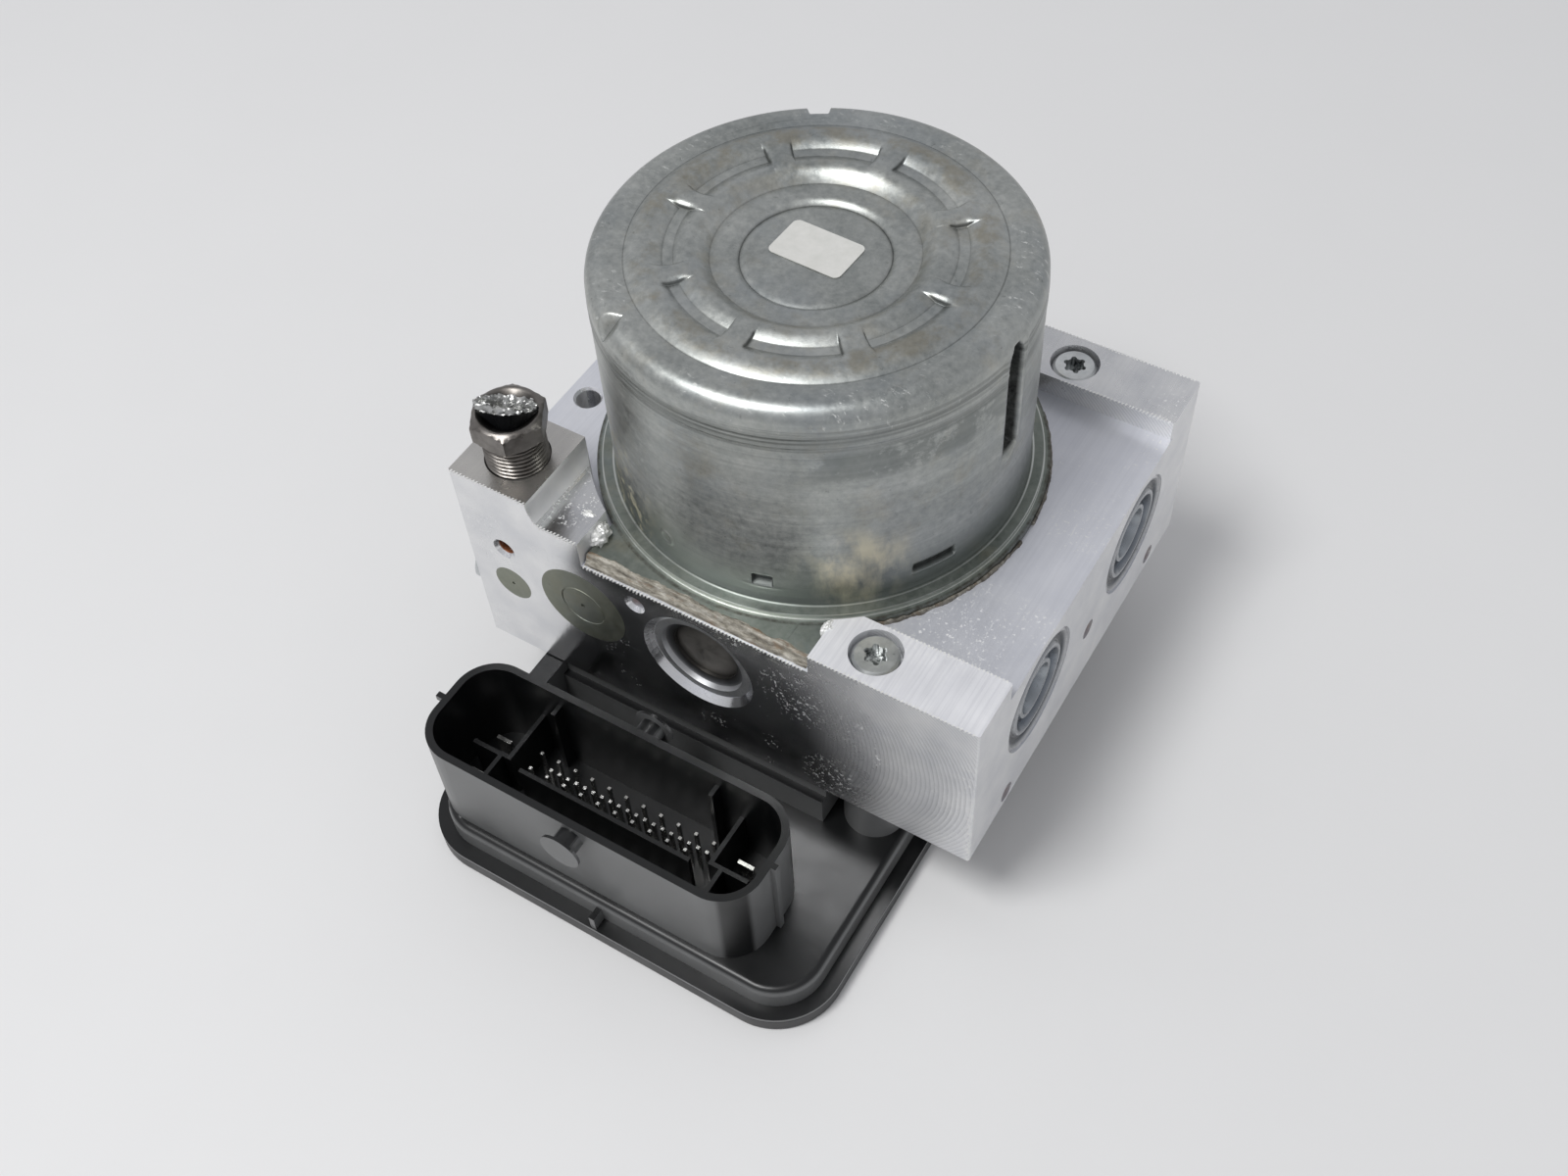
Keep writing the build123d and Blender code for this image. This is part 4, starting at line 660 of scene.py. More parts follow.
def moulded(s, dark, pale, low, high, grain=0.12, depth=0.004, dust=0.06, film_and_sheen=None):
    """Filled plastic, injection moulded: satin, with fine grain, faint flow marks and dust. The last argument
    may give a mask for the outside that is painted greyer: partly a dusty film, partly a painted sheen, the
    reflection of the pale table."""
    colour = s.noise(12, 5.0).toned(0.3, 0.7, dark, pale)
    if film_and_sheen:
        # painted sheen with a dusty film: the upright outside is greyed, for the pale table it reflects
        colour = colour.painted("#777878", film_and_sheen(s) * s.noise(18, 4.0).toned(0.3, 0.7, 0.45, 0.75))
    colour = colour.painted("#8E8E8C", s.noise(0.6, 3.0, 0.7).toned(0.70, 0.76, 0.0, 1.0) * dust)
    s.give(Base_Color=colour, Roughness=s.noise(9, 3.0, 0.5).toned(0.3, 0.7, low, high))
    s.relief(s.noise(grain, 2.0, 0.6), depth)


# IOR, dark and pale tone, roughness band, grain and its depth in mm, dust, and the mask of a grey film with
# painted sheen
plastics = {
    # black glass filled polyamide housing: satin, deep black inside, its upright outside greyed by a film and
    # a painted sheen
    "polyamide_housing_moulded": (1.5, "#08090A", "#0F1011", 0.30, 0.38, 0.12, 0.004, 0.06, shroud_outside),
    # black polyamide cover: a touch greyer and flatter than the housing
    "polyamide_cover_moulded": (1.5, "#131315", "#1E1E20", 0.34, 0.46, 0.12, 0.004, 0.2),
    # black polyamide brush gear and contact sleeves
    "polyamide_holder_moulded": (1.6, "#15161A", "#1E1F22", 0.38, 0.50),
    # coils cast in dark resin: smooth and half gloss
    "epoxy_cast_coil": (1.55, "#16171A", "#202226", 0.22, 0.34, 0.5, 0.01, 0.0),
    # nitrile rubber seal: matt black
    "nitrile_gasket": (1.52, "#141414", "#1C1C1C", 0.60, 0.75, 0.2, 0.01, 0.02),
    # glass epoxy circuit board: green resist
    "glass_epoxy_board": (1.55, "#16402A", "#1F5236", 0.30, 0.40, 0.4, 0.01, 0.0),
    # sintered ferrite magnets: dark grey, matt, slightly gritty
    "ferrite_sintered": (1.6, "#2A2B2D", "#37383A", 0.50, 0.65, 0.25, 0.02, 0.0),
    # pressed carbon brushes: black with a soft sheen
    "carbon_pressed": (1.6, "#1A1A1B", "#262627", 0.45, 0.60, 0.3, 0.02, 0.0),
    # polyamide coating of the brake pipe: black, glossy where it was squeezed
    "pipe_coating_black": (1.53, "#0E0F10", "#17181A", 0.14, 0.30, 0.5, 0.02, 0.02),
}

finishes.update({name: (dull_zinc, row, {"Metallic": 1.0}) for name, row in zincs.items()})
finishes.update({name: (plain_metal, row, {"Metallic": 1.0}) for name, row in plain_metals.items()})
finishes.update({name: (moulded, row, {"Metallic": 0.0, "IOR": ior})
                 for name, (ior, *row) in plastics.items()})


@finish("sealant_dried", Metallic=0.0, IOR=1.5)
def sealant(s):
    """Sealant that crept out and dried: grey-tan crust, pale ridges, darker lines along it and a few rusty
    grains.
    """
    grains = s.noise(1.0, 5.0, 0.72, (3.0, 0.8, 1.0))
    rusty = s.noise(2.2, 5.0, 0.7, (3.0, 0.7, 1.0)).toned(0.54, 0.64, 0.0, 0.60)
    colour = grains.toned(0.34, 0.64, "#5B564C", "#847F73", "#A09B8F", "#C2BEB3").painted("#84684A", rusty)
    s.give(Base_Color=colour.painted("#2E2A25", s.dirt_and_shade() * 0.85),
           Roughness=grains.toned(0.3, 0.7, 0.75, 0.45))
    s.relief(s.noise(0.5, 5.0, 0.75, (2.5, 0.8, 1.0)), 0.06)


@finish("paper_label_satin", Metallic=0.0, IOR=1.49, Roughness=0.42)
def paper(s):
    """Coated label paper: white with a faint fibre and a satin film."""
    s.give(Base_Color=s.noise(2.5, 6.0, 0.7).toned(0.3, 0.7, "#C5C5C0", "#D1D0CC"))
    s.relief(s.noise(0.25, 3.0, 0.6), 0.004)


# ------------------------------------------------------------------ motor can
can_top = can_high[2] - 0.8
can_foot = can_low[2]
groove_angle, notch_angle, dent_angle = -4.0, 119.5, -122.0
window_angle, lance_angle, punch_angle = -75.0, -29.4, -104.0
crown_radius = 34.4


def rows_between(*marks):
    """Returns heights from mark to mark. Each mark gives its height and the number of rows to the next."""
    parts = [np.linspace(a, b, n) for (a, n), (b, _) in zip(marks, marks[1:])]
    return np.concatenate([parts[0], *[part[1:] for part in parts[1:]]])


def can_shell(sizes):
    """Drawn wall of the can, from the flat rim of its top round the shoulder to the foot and back up inside.

    Radius is that of the straight wall, or of the shoulder's quarter circle, less what was pressed in: the
    groove down to a level floor, and smooth steps for the notch, the window and the lanced slot. The dent is
    two planes at 45 degrees that meet in a valley and cut the shoulder. Four fine rings, each a bell of the
    height, run below the shoulder."""
    radius, wall, turn = sizes.radius / MM, sizes.wall / MM, sizes.shoulder / MM
    deg = angles_with(0.9, (groove_angle, 5.5, 0.16), (notch_angle, 5, 0.3), (dent_angle, 4.5, 0.25),
                      (window_angle, 4, 0.3), (lance_angle, 7.5, 0.3), (punch_angle, 3, 0.3))
    theta = np.radians(deg)[None, :]
    quarter = np.linspace(0, pi / 2, 11)
    rim_r = np.linspace(crown_radius, radius - turn, 5)
    rim = np.column_stack([rim_r, can_top - 0.30 * smooth(crown_radius + 1.0, 32.6, rim_r)])[:-1]
    shoulder = np.column_stack([radius - turn + turn * np.sin(quarter),
                                can_top - turn + turn * np.cos(quarter)])
    heights = rows_between((can_top - turn, 40), (can_top - 9, 8), (83.2, 13), (79.0, 6), (69.2, 24),
                           (64.0, 5), (can_foot, 0))
    outer = np.vstack([rim, shoulder, np.column_stack([np.full(len(heights) - 1, radius), heights[1:]])])
    r, z = (np.repeat(v[:, None], len(deg), 1) for v in outer.T)
    along = {a: radius * np.radians((deg - a + 180) % 360 - 180)[None, :] for a in
             (groove_angle, notch_angle, dent_angle, window_angle, lance_angle, punch_angle)}

    # the draw rings below the shoulder and slight waves in the sheet
    for depth, height in ((4.3, 0.05), (5.4, 0.10), (6.4, 0.05), (7.5, 0.09)):
        r = r + height * bump_at(z, can_top - depth, 0.34)
    upright = smooth(can_top - 2, can_top - 6, z)
    r = r + upright * (0.05 * np.sin(3 * theta + 0.6) + 0.04 * np.sin(z / 6.0) * np.cos(2 * theta))
    r = r + 0.35 * smooth(can_foot + 2.2, can_foot, z)

    # groove: floor at one radius, walls near upright, a lip each side and a swelling under its foot
    u = along[groove_angle]
    half = sizes.groove_width / MM / 2
    open_up = smooth(can_top - 0.8, can_top - 6.0, z)
    narrow = half * (0.20 + 0.80 * open_up)
    across = 1 - np.clip((np.abs(u) - narrow + 0.2) / 0.45, 0, 1)
    reach = smooth(81.2, 82.6, z)
    floor = radius - sizes.groove_depth / MM * (1.1 * open_up - 0.1)
    pressed = across * reach * np.clip(r - floor, 0, None)
    r = r - pressed
    beside_it = smooth(80.5, 84, z) * smooth(can_top - 0.5, can_top - 3, z)
    r = r + 0.22 * bump_at(np.abs(u), half + 0.9, 0.7) * beside_it
    r = r + 0.45 * bump_at(u, 0, 1.6) * bump_at(z, 80.2, 1.1)

    # notch pressed down into the far rim, and the dent in the near rim
    u = along[notch_angle]
    cut = smooth(2.3, 1.7, np.abs(u)) * smooth(radius - turn - 0.8, radius - turn + 0.9, r)
    z = z - 1.35 * cut * smooth(can_top - 3.4, can_top - 1.2, z)
    u = along[dent_angle]
    plane = radius + can_top - 0.586 * turn - 2.15 + 0.85 * np.abs(u + 0.25)
    dented = np.clip(r + z - plane, 0, None) / 2 * (np.abs(u) < 3.2) * (z > can_top - 4)
    r = r - dented
    z = z - dented
    shaded = 0.55 * np.clip(dented / 0.5 - 0.4, 0, 1) * (u < 0.1)

    # window, lanced slot with its lower lip left standing, and a punch mark
    u = along[window_angle]
    opening = smooth(1.95, 1.7, np.abs(u)) * smooth(65.2, 65.45, z) * smooth(67.9, 67.65, z)
    r = r - 1.35 * opening + 0.15 * bump_at(u, 0, 2.6) * bump_at(z, 64.9, 0.35)
    u = along[lance_angle]
    lance = smooth(4.5, 4.0, np.abs(u)) * smooth(65.35, 65.6, z) * smooth(68.0, 65.9, z)
    r = r - 0.95 * lance + 0.18 * smooth(4.6, 4.2, np.abs(u)) * bump_at(z, 65.15, 0.3)
    r = r + 0.16 * bump_at(np.hypot(along[punch_angle], z - 66.9), 1.35, 0.35)

    # painted shade: the groove, the shaded side of the dent, the window, the lanced slot and the foot are
    # darkened
    dirt_and_shade = np.maximum.reduce([
        np.clip(pressed / 0.5 - 0.3, 0, 1), shaded, 0.45 * opening * smooth(radius, radius - 1.0, r),
        0.8 * lance * smooth(radius, radius - 0.7, r), 0.35 * smooth(can_foot + 1.4, can_foot, z)])

    # inner wall: the same pressed places carried one sheet thickness in
    inner_heights = np.linspace(can_foot, can_top - wall - turn, 14)
    groove_in = smooth(half + wall, half + wall - 0.8, np.abs(along[groove_angle]))
    groove_in = groove_in * smooth(79.5, 81.5, inner_heights[:, None])
    inner_r = (radius - wall) - groove_in * sizes.groove_depth / MM
    tail_r = np.linspace(radius - wall - 0.6, crown_radius, 5)[:, None]
    tail_z = can_top - wall - np.linspace(1.2, 0, 5) ** 2 * 0.6
    inner_r = np.vstack([inner_r, np.minimum(tail_r, inner_r[-1])])
    inner_z = np.repeat(np.concatenate([inner_heights, tail_z])[:, None], len(deg), 1)
    grid = polar(np.vstack([r, inner_r]), theta, np.vstack([z, inner_z]))
    darkening = np.vstack([dirt_and_shade, np.zeros_like(inner_r)])
    return turned("motor_can_shell", grid[::-1], 40, (False, False), close_rows=True, dirt_and_shade=darkening[::-1])


def can_crown(sizes):
    """Top of the can inside its flat rim.

    Every slope is a parabola that starts level and ends in a crisp crease. The rim falls 0.3 mm to a crease
    at radius 32.7 and the ring bead rises from it to its crest at 28.9; the dish falls from 22.4 to 18.1; a
    groove at 13.1 parts the middle. Each arc recess has a level floor from 24.2 to 26.1, slopes from 19.8
    and 29.9 down to it, and ends 17 degrees from its middle in a short wall and a rounded shoulder."""
    bead, dish, trough = sizes.bead_height / MM, sizes.dish_depth / MM, sizes.recess_depth / MM
    count = sizes.recess_count
    middles = 22.5 + 360.0 / max(count, 1) * np.arange(count)
    ends = [((m + s * 17.6 + 180) % 360 - 180, 3.2, 0.3) for m in middles for s in (-1, 1)]
    deg = angles_with(1.3, *ends)
    theta = np.radians(deg)[None, :]
    r = np.concatenate([
        np.linspace(crown_radius, 33.1, 4), np.linspace(32.9, 32.7, 2), np.linspace(32.5, 28.9, 13),
        np.linspace(28.4, 26.3, 8), [26.1, 25.9, 25.2, 24.4, 24.2, 24.0], np.linspace(23.6, 19.8, 13),
        np.linspace(19.4, 18.3, 5), [18.1, 17.9, 17.0, 15.8, 15.0], np.linspace(14.6, 13.3, 6), [13.1, 12.9],
        np.linspace(12.6, 11.2, 7), np.linspace(10.4, 0.8, 6)])[:, None]
    crest, sink = bead * 0.96, 0.30

    def parabola(length, x):
        return np.clip(1 - x / length, 0, 1) ** 2 * (x >= 0)

    z = -sink * smooth(crown_radius + 1.0, 32.7, r)
    z = z + (crest + sink) * (1 - np.clip((r - 28.9) / 3.8, 0, 1) ** 2)
    z = z - 0.15 * smooth(28.4, 24.5, r)
    z = z - (crest - 0.15 + dish) * np.clip((22.4 - r) / 4.3, 0, 1) ** 2
    z = z - np.where(r > 13.1, 0.9 * parabola(1.7, r - 13.1), 0.55 + 0.35 * parabola(1.7, 13.1 - r))
    z = np.repeat(z, len(deg), 1)
    across = np.where(r > 26.1, parabola(3.8, r - 26.1), np.where(r < 24.2, parabola(4.4, 24.2 - r), 1.0))
    # painted shade: the creases, the edges of the recess floors and the recess ends are darkened
    crease = 0.6 * bump_at(r, 32.7, 0.10) + 0.45 * bump_at(r, 18.05, 0.10) + 0.8 * bump_at(r, 13.1, 0.16)
    crease = np.repeat(crease, len(deg), 1)
    for m in middles:
        off = np.abs((deg - m + 180) % 360 - 180)[None, :]
        end_wall = 1 - 0.5 * np.clip((off - 17.0) / 0.5, 0, 1)
        along = np.where(off > 17.5, 0.5 * parabola(2.8, off - 17.5), end_wall)
        z = z - trough * across * along
        crease = np.maximum(crease, 0.9 * window_of(r, 23.0, 27.2) * bump_at(off, 17.3, 0.45))
        crease = np.maximum(crease, 0.5 * (bump_at(r, 26.15, 0.12) + bump_at(r, 24.15, 0.12)) * (off < 17.0))
    z = z + 0.02 * np.sin(2 * theta + r / 5.0)
    top = polar(r, theta, can_top + np.minimum(z, bead * 0.99))
    under_r = np.array([0.8, 10.0, 17.0, 21.0, crown_radius])[:, None]
    under_z = can_top - sizes.wall / MM - np.array([2.3, 2.3, 2.2, 1.0, 0.0])[:, None]
    under = polar(under_r, theta, under_z)
    darkening = np.concatenate([np.zeros(under.shape[:2]), crease])
    return turned("motor_can_crown", np.concatenate([under, top]), 34, dirt_and_shade=darkening)


def window_of(x, low, high):
    """Returns 1 between low and high and 0 outside, with edges 0.4 wide."""
    return smooth(low - 0.2, low + 0.2, x) * smooth(high + 0.2, high - 0.2, x)


# ------------------------------------------------------------------ pipe nut and the sheared pipe
nut_x, nut_y = (nut_low[:2] + nut_high[:2]) / 2
hex_bottom, hex_top = pad_top + 6.9, pad_top + 11.8


def pipe_nut(sizes):
    """Pipe nut: thread, hexagon and funnel as one skin.

    The hexagon's radius is the half width over cos(angle from the nearest flat), cut back by 30 degree
    cones at both ends. The thread's radius is the thread radius less 0.68 of a clipped triangle wave of
    height over pitch plus turn. Inside, a funnel narrows to the pipe."""
    flat, turn_r, pitch = sizes.across_flats / MM / 2, sizes.thread_radius / MM, sizes.pitch / MM
    deg = angles_with(3.0, *[(c, 3.0, 1.0) for c in range(-180, 180, 60)])
    theta = np.radians(deg)[None, :]
    corner = flat / np.cos(np.radians((deg + 60) % 60 - 30))[None, :]
    heights = np.arange(pad_top - 1.5, hex_bottom, pitch / 14)[:, None]
    wave = np.abs(((heights / pitch + theta / (2 * pi)) % 1.0) - 0.5) * 2
    root = np.clip(1.5 * wave - 0.35, 0, 1)
    neck = smooth(hex_bottom - 0.9, hex_bottom - 0.3, heights) * np.ones_like(theta)
    rows_r, rows_z = [turn_r - 0.68 * np.maximum(root, 0.8 * neck)], [heights * np.ones_like(theta)]
    # painted shade: the thread's roots and the neck under the hexagon are darkened
    darkening = [np.maximum(smooth(0.35, 0.95, root), neck)]
    for z in hex_bottom + np.array([0.0, 0.12, 0.35, 0.7, 2.2, 2.7, 3.4, 3.8, 4.1, 4.4, 4.65, 4.9]):
        cone = min(flat - 0.45 + (hex_top - z) * 1.75, flat - 0.25 + (z - hex_bottom) * 1.75)
        rows_r.append(np.minimum(corner, cone))
        rows_z.append(np.full_like(theta, z))
        darkening.append(np.zeros_like(theta))
    # the funnel's rows; the last number darkens the funnel towards the pipe as painted shade
    for r, z, dark in ((flat - 0.75, hex_top + 0.06, 0.0), (5.7, hex_top + 0.05, 0.1),
                       (5.2, hex_top - 0.15, 0.6), (3.9, hex_top - 1.25, 1.0), (3.3, hex_top - 1.8, 1.0),
                       (3.15, hex_top - 3.0, 1.0)):
        rows_r.append(np.full_like(theta, r))
        rows_z.append(np.full_like(theta, z))
        darkening.append(np.full_like(theta, dark))
    grid = polar(np.vstack(rows_r), theta, np.vstack(rows_z))
    grid[..., 0] += nut_x
    grid[..., 1] += nut_y
    return turned("pipe_nut_front", grid, 28, dirt_and_shade=np.vstack(darkening))


def outlet_nut():
    """Nut in the port face: an 11 mm hexagon about the X axis with 30 degree cones at its outer end."""
    low, high = low_high("outlet_nut")
    middle_y, middle_z = (low[1:] + high[1:]) / 2
    half_width = 5.5
    deg = np.arange(-180, 180, 3.0)
    corner = half_width / np.cos(np.radians((deg + 60) % 60 - 30))[None, :]
    # how far each row stands out of the port face, and the radius that its cone leaves
    rows = [(0.0, 5.2), (0.05, 5.9), (0.5, 9.0), (4.6, 9.0), (5.2, 6.15), (5.6, 5.75), (5.95, 5.2),
            (6.0, 4.6), (5.6, 3.4), (4.8, 2.6), (4.4, 2.5)]
    out, limit = np.array(rows).T[:, :, None]
    grid = polar(np.minimum(corner, limit), np.radians(deg)[None, :], -out)
    placed = np.stack([block_low[0] + grid[..., 2], middle_y + grid[..., 0], middle_z - grid[..., 1]], -1)
    return turned("pipe_nut_side", placed, 28)


stub_columns, stub_coated_rows = 160, 7


def pipe_stub():
    """Sheared pipe in the funnel: a flattened tube torn off in ridges.

    The outline is an ellipse that grows from the funnel's foot to 11.8 by 3.4 mm; the torn top is the
    outline shrunk towards a slit, its height a sum of noise along and across the tear."""
    low, high = low_high("pipe_stub")
    turn = radians(26.0)
    base = high[2]
    t = np.linspace(0, 2 * pi, stub_columns, endpoint=False)[None, :]
    levels = base - np.array([5.2, 4.4, 3.4, 2.4, 1.5, 0.8, 0.3])[:, None]
    grow = smooth(base - 5.0, base - 0.6, levels)
    half_x = 3.0 + 2.8 * grow
    half_y = 3.0 - 0.8 * grow
    ragged = 1 + 0.05 * value_noise(t * 9, 3, 0.5) * grow
    x, y = half_x * np.cos(t) * ragged, half_y * np.sin(t) * ragged
    rows = [np.stack([x, y, levels * np.ones_like(t)], -1)]
    for k, share in enumerate((0.97, 0.90, 0.80, 0.68, 0.55, 0.42, 0.30, 0.18)):
        xr = 5.85 * share ** 0.45 * np.cos(t) * (1 + 0.05 * value_noise(t * 11, 20 + k, 0.4))
        yr = 2.2 * share * np.sin(t) * (1 + 0.10 * value_noise(t * 7, 30 + k, 0.5))
        zr = base - 0.35 + 0.40 * value_noise(xr * 1.2 + 40, 41, 0.8)
        zr = zr + 0.55 * value_noise(yr * 2.0 + 0.25 * xr + 9, 52, 0.7)
        zr = zr + 0.25 * smooth(0.9, 0.5, share) - 0.9 * smooth(0.35, 0.15, share)
        zr = zr + 0.9 * smooth(-0.2, 0.8, np.sin(t) * share)
        zr = zr + 1.5 * np.exp(-(((t - pi) / 0.16) ** 2)) * smooth(0.5, 0.95, share)
        rows.append(np.stack([xr, yr, zr], -1))
    spin = np.array([[cos(turn), -sin(turn), 0], [sin(turn), cos(turn), 0], [0, 0, 1]])
    place = np.array([(low[0] + high[0]) / 2, (low[1] + high[1]) / 2, 0])
    return turned("pipe_stub_torn", np.concatenate(rows) @ spin.T + place, 22)


# ------------------------------------------------------------------ burrs and sealant
def teeth(path, up, out, pitch, seed):
    """Returns the points and faces of the flakes along an edge: every pitch, moved a little at random, a
    three-sided prism just under half a pitch wide, which laps over the corner and hangs slanted down the
    face."""
    steps = np.concatenate([[0], np.cumsum(np.linalg.norm(np.diff(path, axis=0), axis=1))])
    chance = np.random.default_rng(seed)
    s = np.arange(pitch / 2, steps[-1] - pitch / 2, pitch)
    s = s + chance.uniform(-0.12, 0.12, len(s)) * pitch
    size = 1 + 0.35 * value_noise(s, seed, 4.0) + chance.uniform(-0.25, 0.25, len(s))
    size = np.clip(size, 0.35, 1.45)[:, None]
    spots = []
    section = ((0.34, 0.0, -0.03, 0.12), (0.0, 0.15, -0.05, 0.0), (0.0, -0.012, 0.62, -0.24))
    for side in (-0.5, 0.5):
        for inward, outward, down, slant in section:
            at = s + side * pitch * 0.46 + slant * size[:, 0]
            base = np.stack([np.interp(at, steps, path[:, k]) for k in range(3)], 1)
            spots.append(base - out * inward * size + out * outward - up * down * size)
    points = np.stack(spots, 1)
    prism = [np.array(face) for face in ([0, 1, 2], [5, 4, 3], [0, 3, 4, 1], [1, 4, 5, 2], [2, 5, 3, 0])]
    if np.cross(up, out) @ (path[-1] - path[0]) < 0:
        prism = [face[::-1] for face in prism]
    return points.reshape(-1, 3), [face + 6 * n for n in range(len(points)) for face in prism]


def burrs(sizes):
    """Burr that the cutter left: flakes along the front and back edges of the pads, lands, recess and rails,
    and along the inner edges of both rails."""
    pitch = sizes.burr_pitch / MM
    front, back = block_low[1], block_high[1]
    left, right = block_low[0], block_high[0]
    shape = np.array([[0.3, 0], [17.7, 0], [17.75, -1.2], [18.05, -2.6], [18.7, -4.2], [19.8, -5.2],
                      [28.3, -5.2]])
    profile = np.column_stack([left + shape[:, 0], pad_top + shape[:, 1]])
    runs = []
    for side, y in ((-1, front), (1, back)):
        for line in (profile, [[left + 28.6, recess_floor], [right - 33.4, recess_floor]],
                     [[right - 33.1, rail_top], [right - 0.4, rail_top]]):
            line = np.asarray(line, float)
            runs.append((np.column_stack([line[:, 0], np.full(len(line), y), line[:, 1]]), side))
        inner = y - side * 12.4
        runs.append((np.array([[right - 24, inner, rail_top], [right - 0.6, inner, rail_top]]), -side))
    points, faces, count = [], [], 0
    for seed, (path, side) in enumerate(runs):
        got, more = teeth(path, np.array([0, 0, 1.0]), np.array([0, float(side), 0]), pitch, seed)
        faces += [(f + count).tolist() for f in more]
        points.append(got)
        count += len(got)
    return outwards(finish_mesh("edge_burrs", np.vstack(points), faces, 15))


def sealant_crust():
    """Sealant squeezed out round the flange, and dried.

    Along the edge of the recess it is a film that climbs from the edge on to the flange, with three ridges
    along it, each a bell that wanders with noise. Along the round of the flange it is a dark bead about
    0.7 mm wide, half an ellipse across. Width and height follow noise."""
    low, high = low_high("sealant_bead")
    grids, darks = [], []
    base = recess_floor - 0.05
    columns = 21
    v = np.linspace(0, 1, columns)[None, :]
    edge = (v <= 0.001) | (v >= 0.999)
    ridges = ((0.30, 0.055, 0.30, 6), (0.66, 0.045, 0.24, 9), (0.84, 0.035, 0.16, 12))
    for side, seed in ((-1, 5), (1, 45)):
        s = np.arange(low[0] + 0.1, high[0] + 5.4, 0.16)[:, None]
        outer = 46.35 - 0.22 * (1 + value_noise(s, seed + 1, 5.0)) / 2 + 0.06 * value_noise(s, seed, 0.8)
        inner = 43.9 + 0.35 * value_noise(s, seed + 2, 3.0) + 0.15 * value_noise(s, seed + 3, 0.8)
        y = side * (outer + (inner - outer) * v)
        lift = 0.22 * np.sin(pi * v) ** 0.5 + 1.68 * smooth(0.22, 0.62, v)
        for middle, wide, tall, more in ridges:
            at = middle + 0.09 * value_noise(s, seed + more, 5.0)
            at = at + 0.03 * value_noise(s, seed + more + 1, 1.0)
            tall = tall * (1 + 0.5 * value_noise(s, seed + more + 2, 1.6))
            lift = lift + tall * np.exp(-(((v - at) / wide) ** 2))
        lift = lift + 0.05 * value_noise(s + 7 * v, seed + 8, 0.7) * np.sin(pi * v)
        z = base + np.where(edge, 0.0, np.clip(lift, 0.02, None))
        grids.append(np.stack([np.repeat(s, columns, 1), y, z], -1))
        # two darker lines between the ridges
        darks.append(0.75 * bump_at(v, 0.13, 0.07) + 0.4 * bump_at(v, 0.47, 0.06))
    across = np.linspace(0, pi, 9)[None, :]
    for start, stop, seed in ((-56, -3, 71), (3, 56, 83)):
        degrees = np.arange(start, stop, 0.25)[:, None]
        wide = 0.36 + 0.16 * value_noise(degrees, seed, 2.0) + 0.08 * value_noise(degrees, seed + 1, 0.6)
        z = base + (0.75 + 0.3 * value_noise(degrees, seed + 2, 1.5)) * np.sin(across)
        grids.append(polar(flange_reach + 0.12 - wide * np.cos(across), np.radians(degrees), z))
        darks.append(0.75 + 0.25 * value_noise(degrees, seed + 3, 3.0))
    return lumps("sealant_crust", grids, 50, dirt_and_shade_rows=darks)


def plate_corner():
    """Corners of the motor flange under the two screw rails: a flat plate with one clipped corner."""
    outline = np.array([(18.0, -44.3), (23.9, -44.3), (24.6, -41.5), (26.0, -38.0), (26.0, -36.0),
                        (18.0, -36.0)])
    plates = []
    for side in (1, -1):
        flat = outline * (1, side)
        plates.append(np.stack([np.column_stack([flat, np.full(len(flat), z)])
                                for z in (flange_bottom, flange_top - 0.06)]))
    return lumps("flange_corners", plates, 30)


def staked_lumps():
    """Block metal staked over the corners of the flange: squashed balls, their radius torn by noise of the
    angle round and up."""
    turn = np.linspace(0, 2 * pi, 40, endpoint=False)[None, :]
    up = np.linspace(-pi / 2, pi / 2, 22)[:, None]
    whole = smooth(pi / 2 + 0.1, pi / 2 - 0.5, np.abs(up))
    wide = (24.1, 40.4, 61.2), (2.0, 2.5, 2.3)
    high = (26.6, 39.3, 63.6), (1.8, 1.2, 1.2)
    small = (24.1, 38.7, 61.4), (1.5, 1.7, 1.9)
    balls = []
    for side_x, side_y, ((x, y, z), half), seed in ((-1, -1, wide, 3), (-1, -1, high, 8), (1, -1, small, 12),
                                                    (-1, 1, wide, 17), (1, 1, small, 21)):
        torn = 1 + 0.16 * value_noise(turn * 2.0 + up * 1.5, seed, 0.5)
        torn = torn + 0.12 * value_noise(up * 4 + turn, seed + 1, 0.4)
        torn = torn * whole + (1 - whole)
        ball = polar(np.cos(up), turn, np.sin(up)) * torn[..., None] * half
        balls.append(ball + (side_x * x, side_y * y, z))
    return lumps("staked_corners", balls, 30, capped=False)


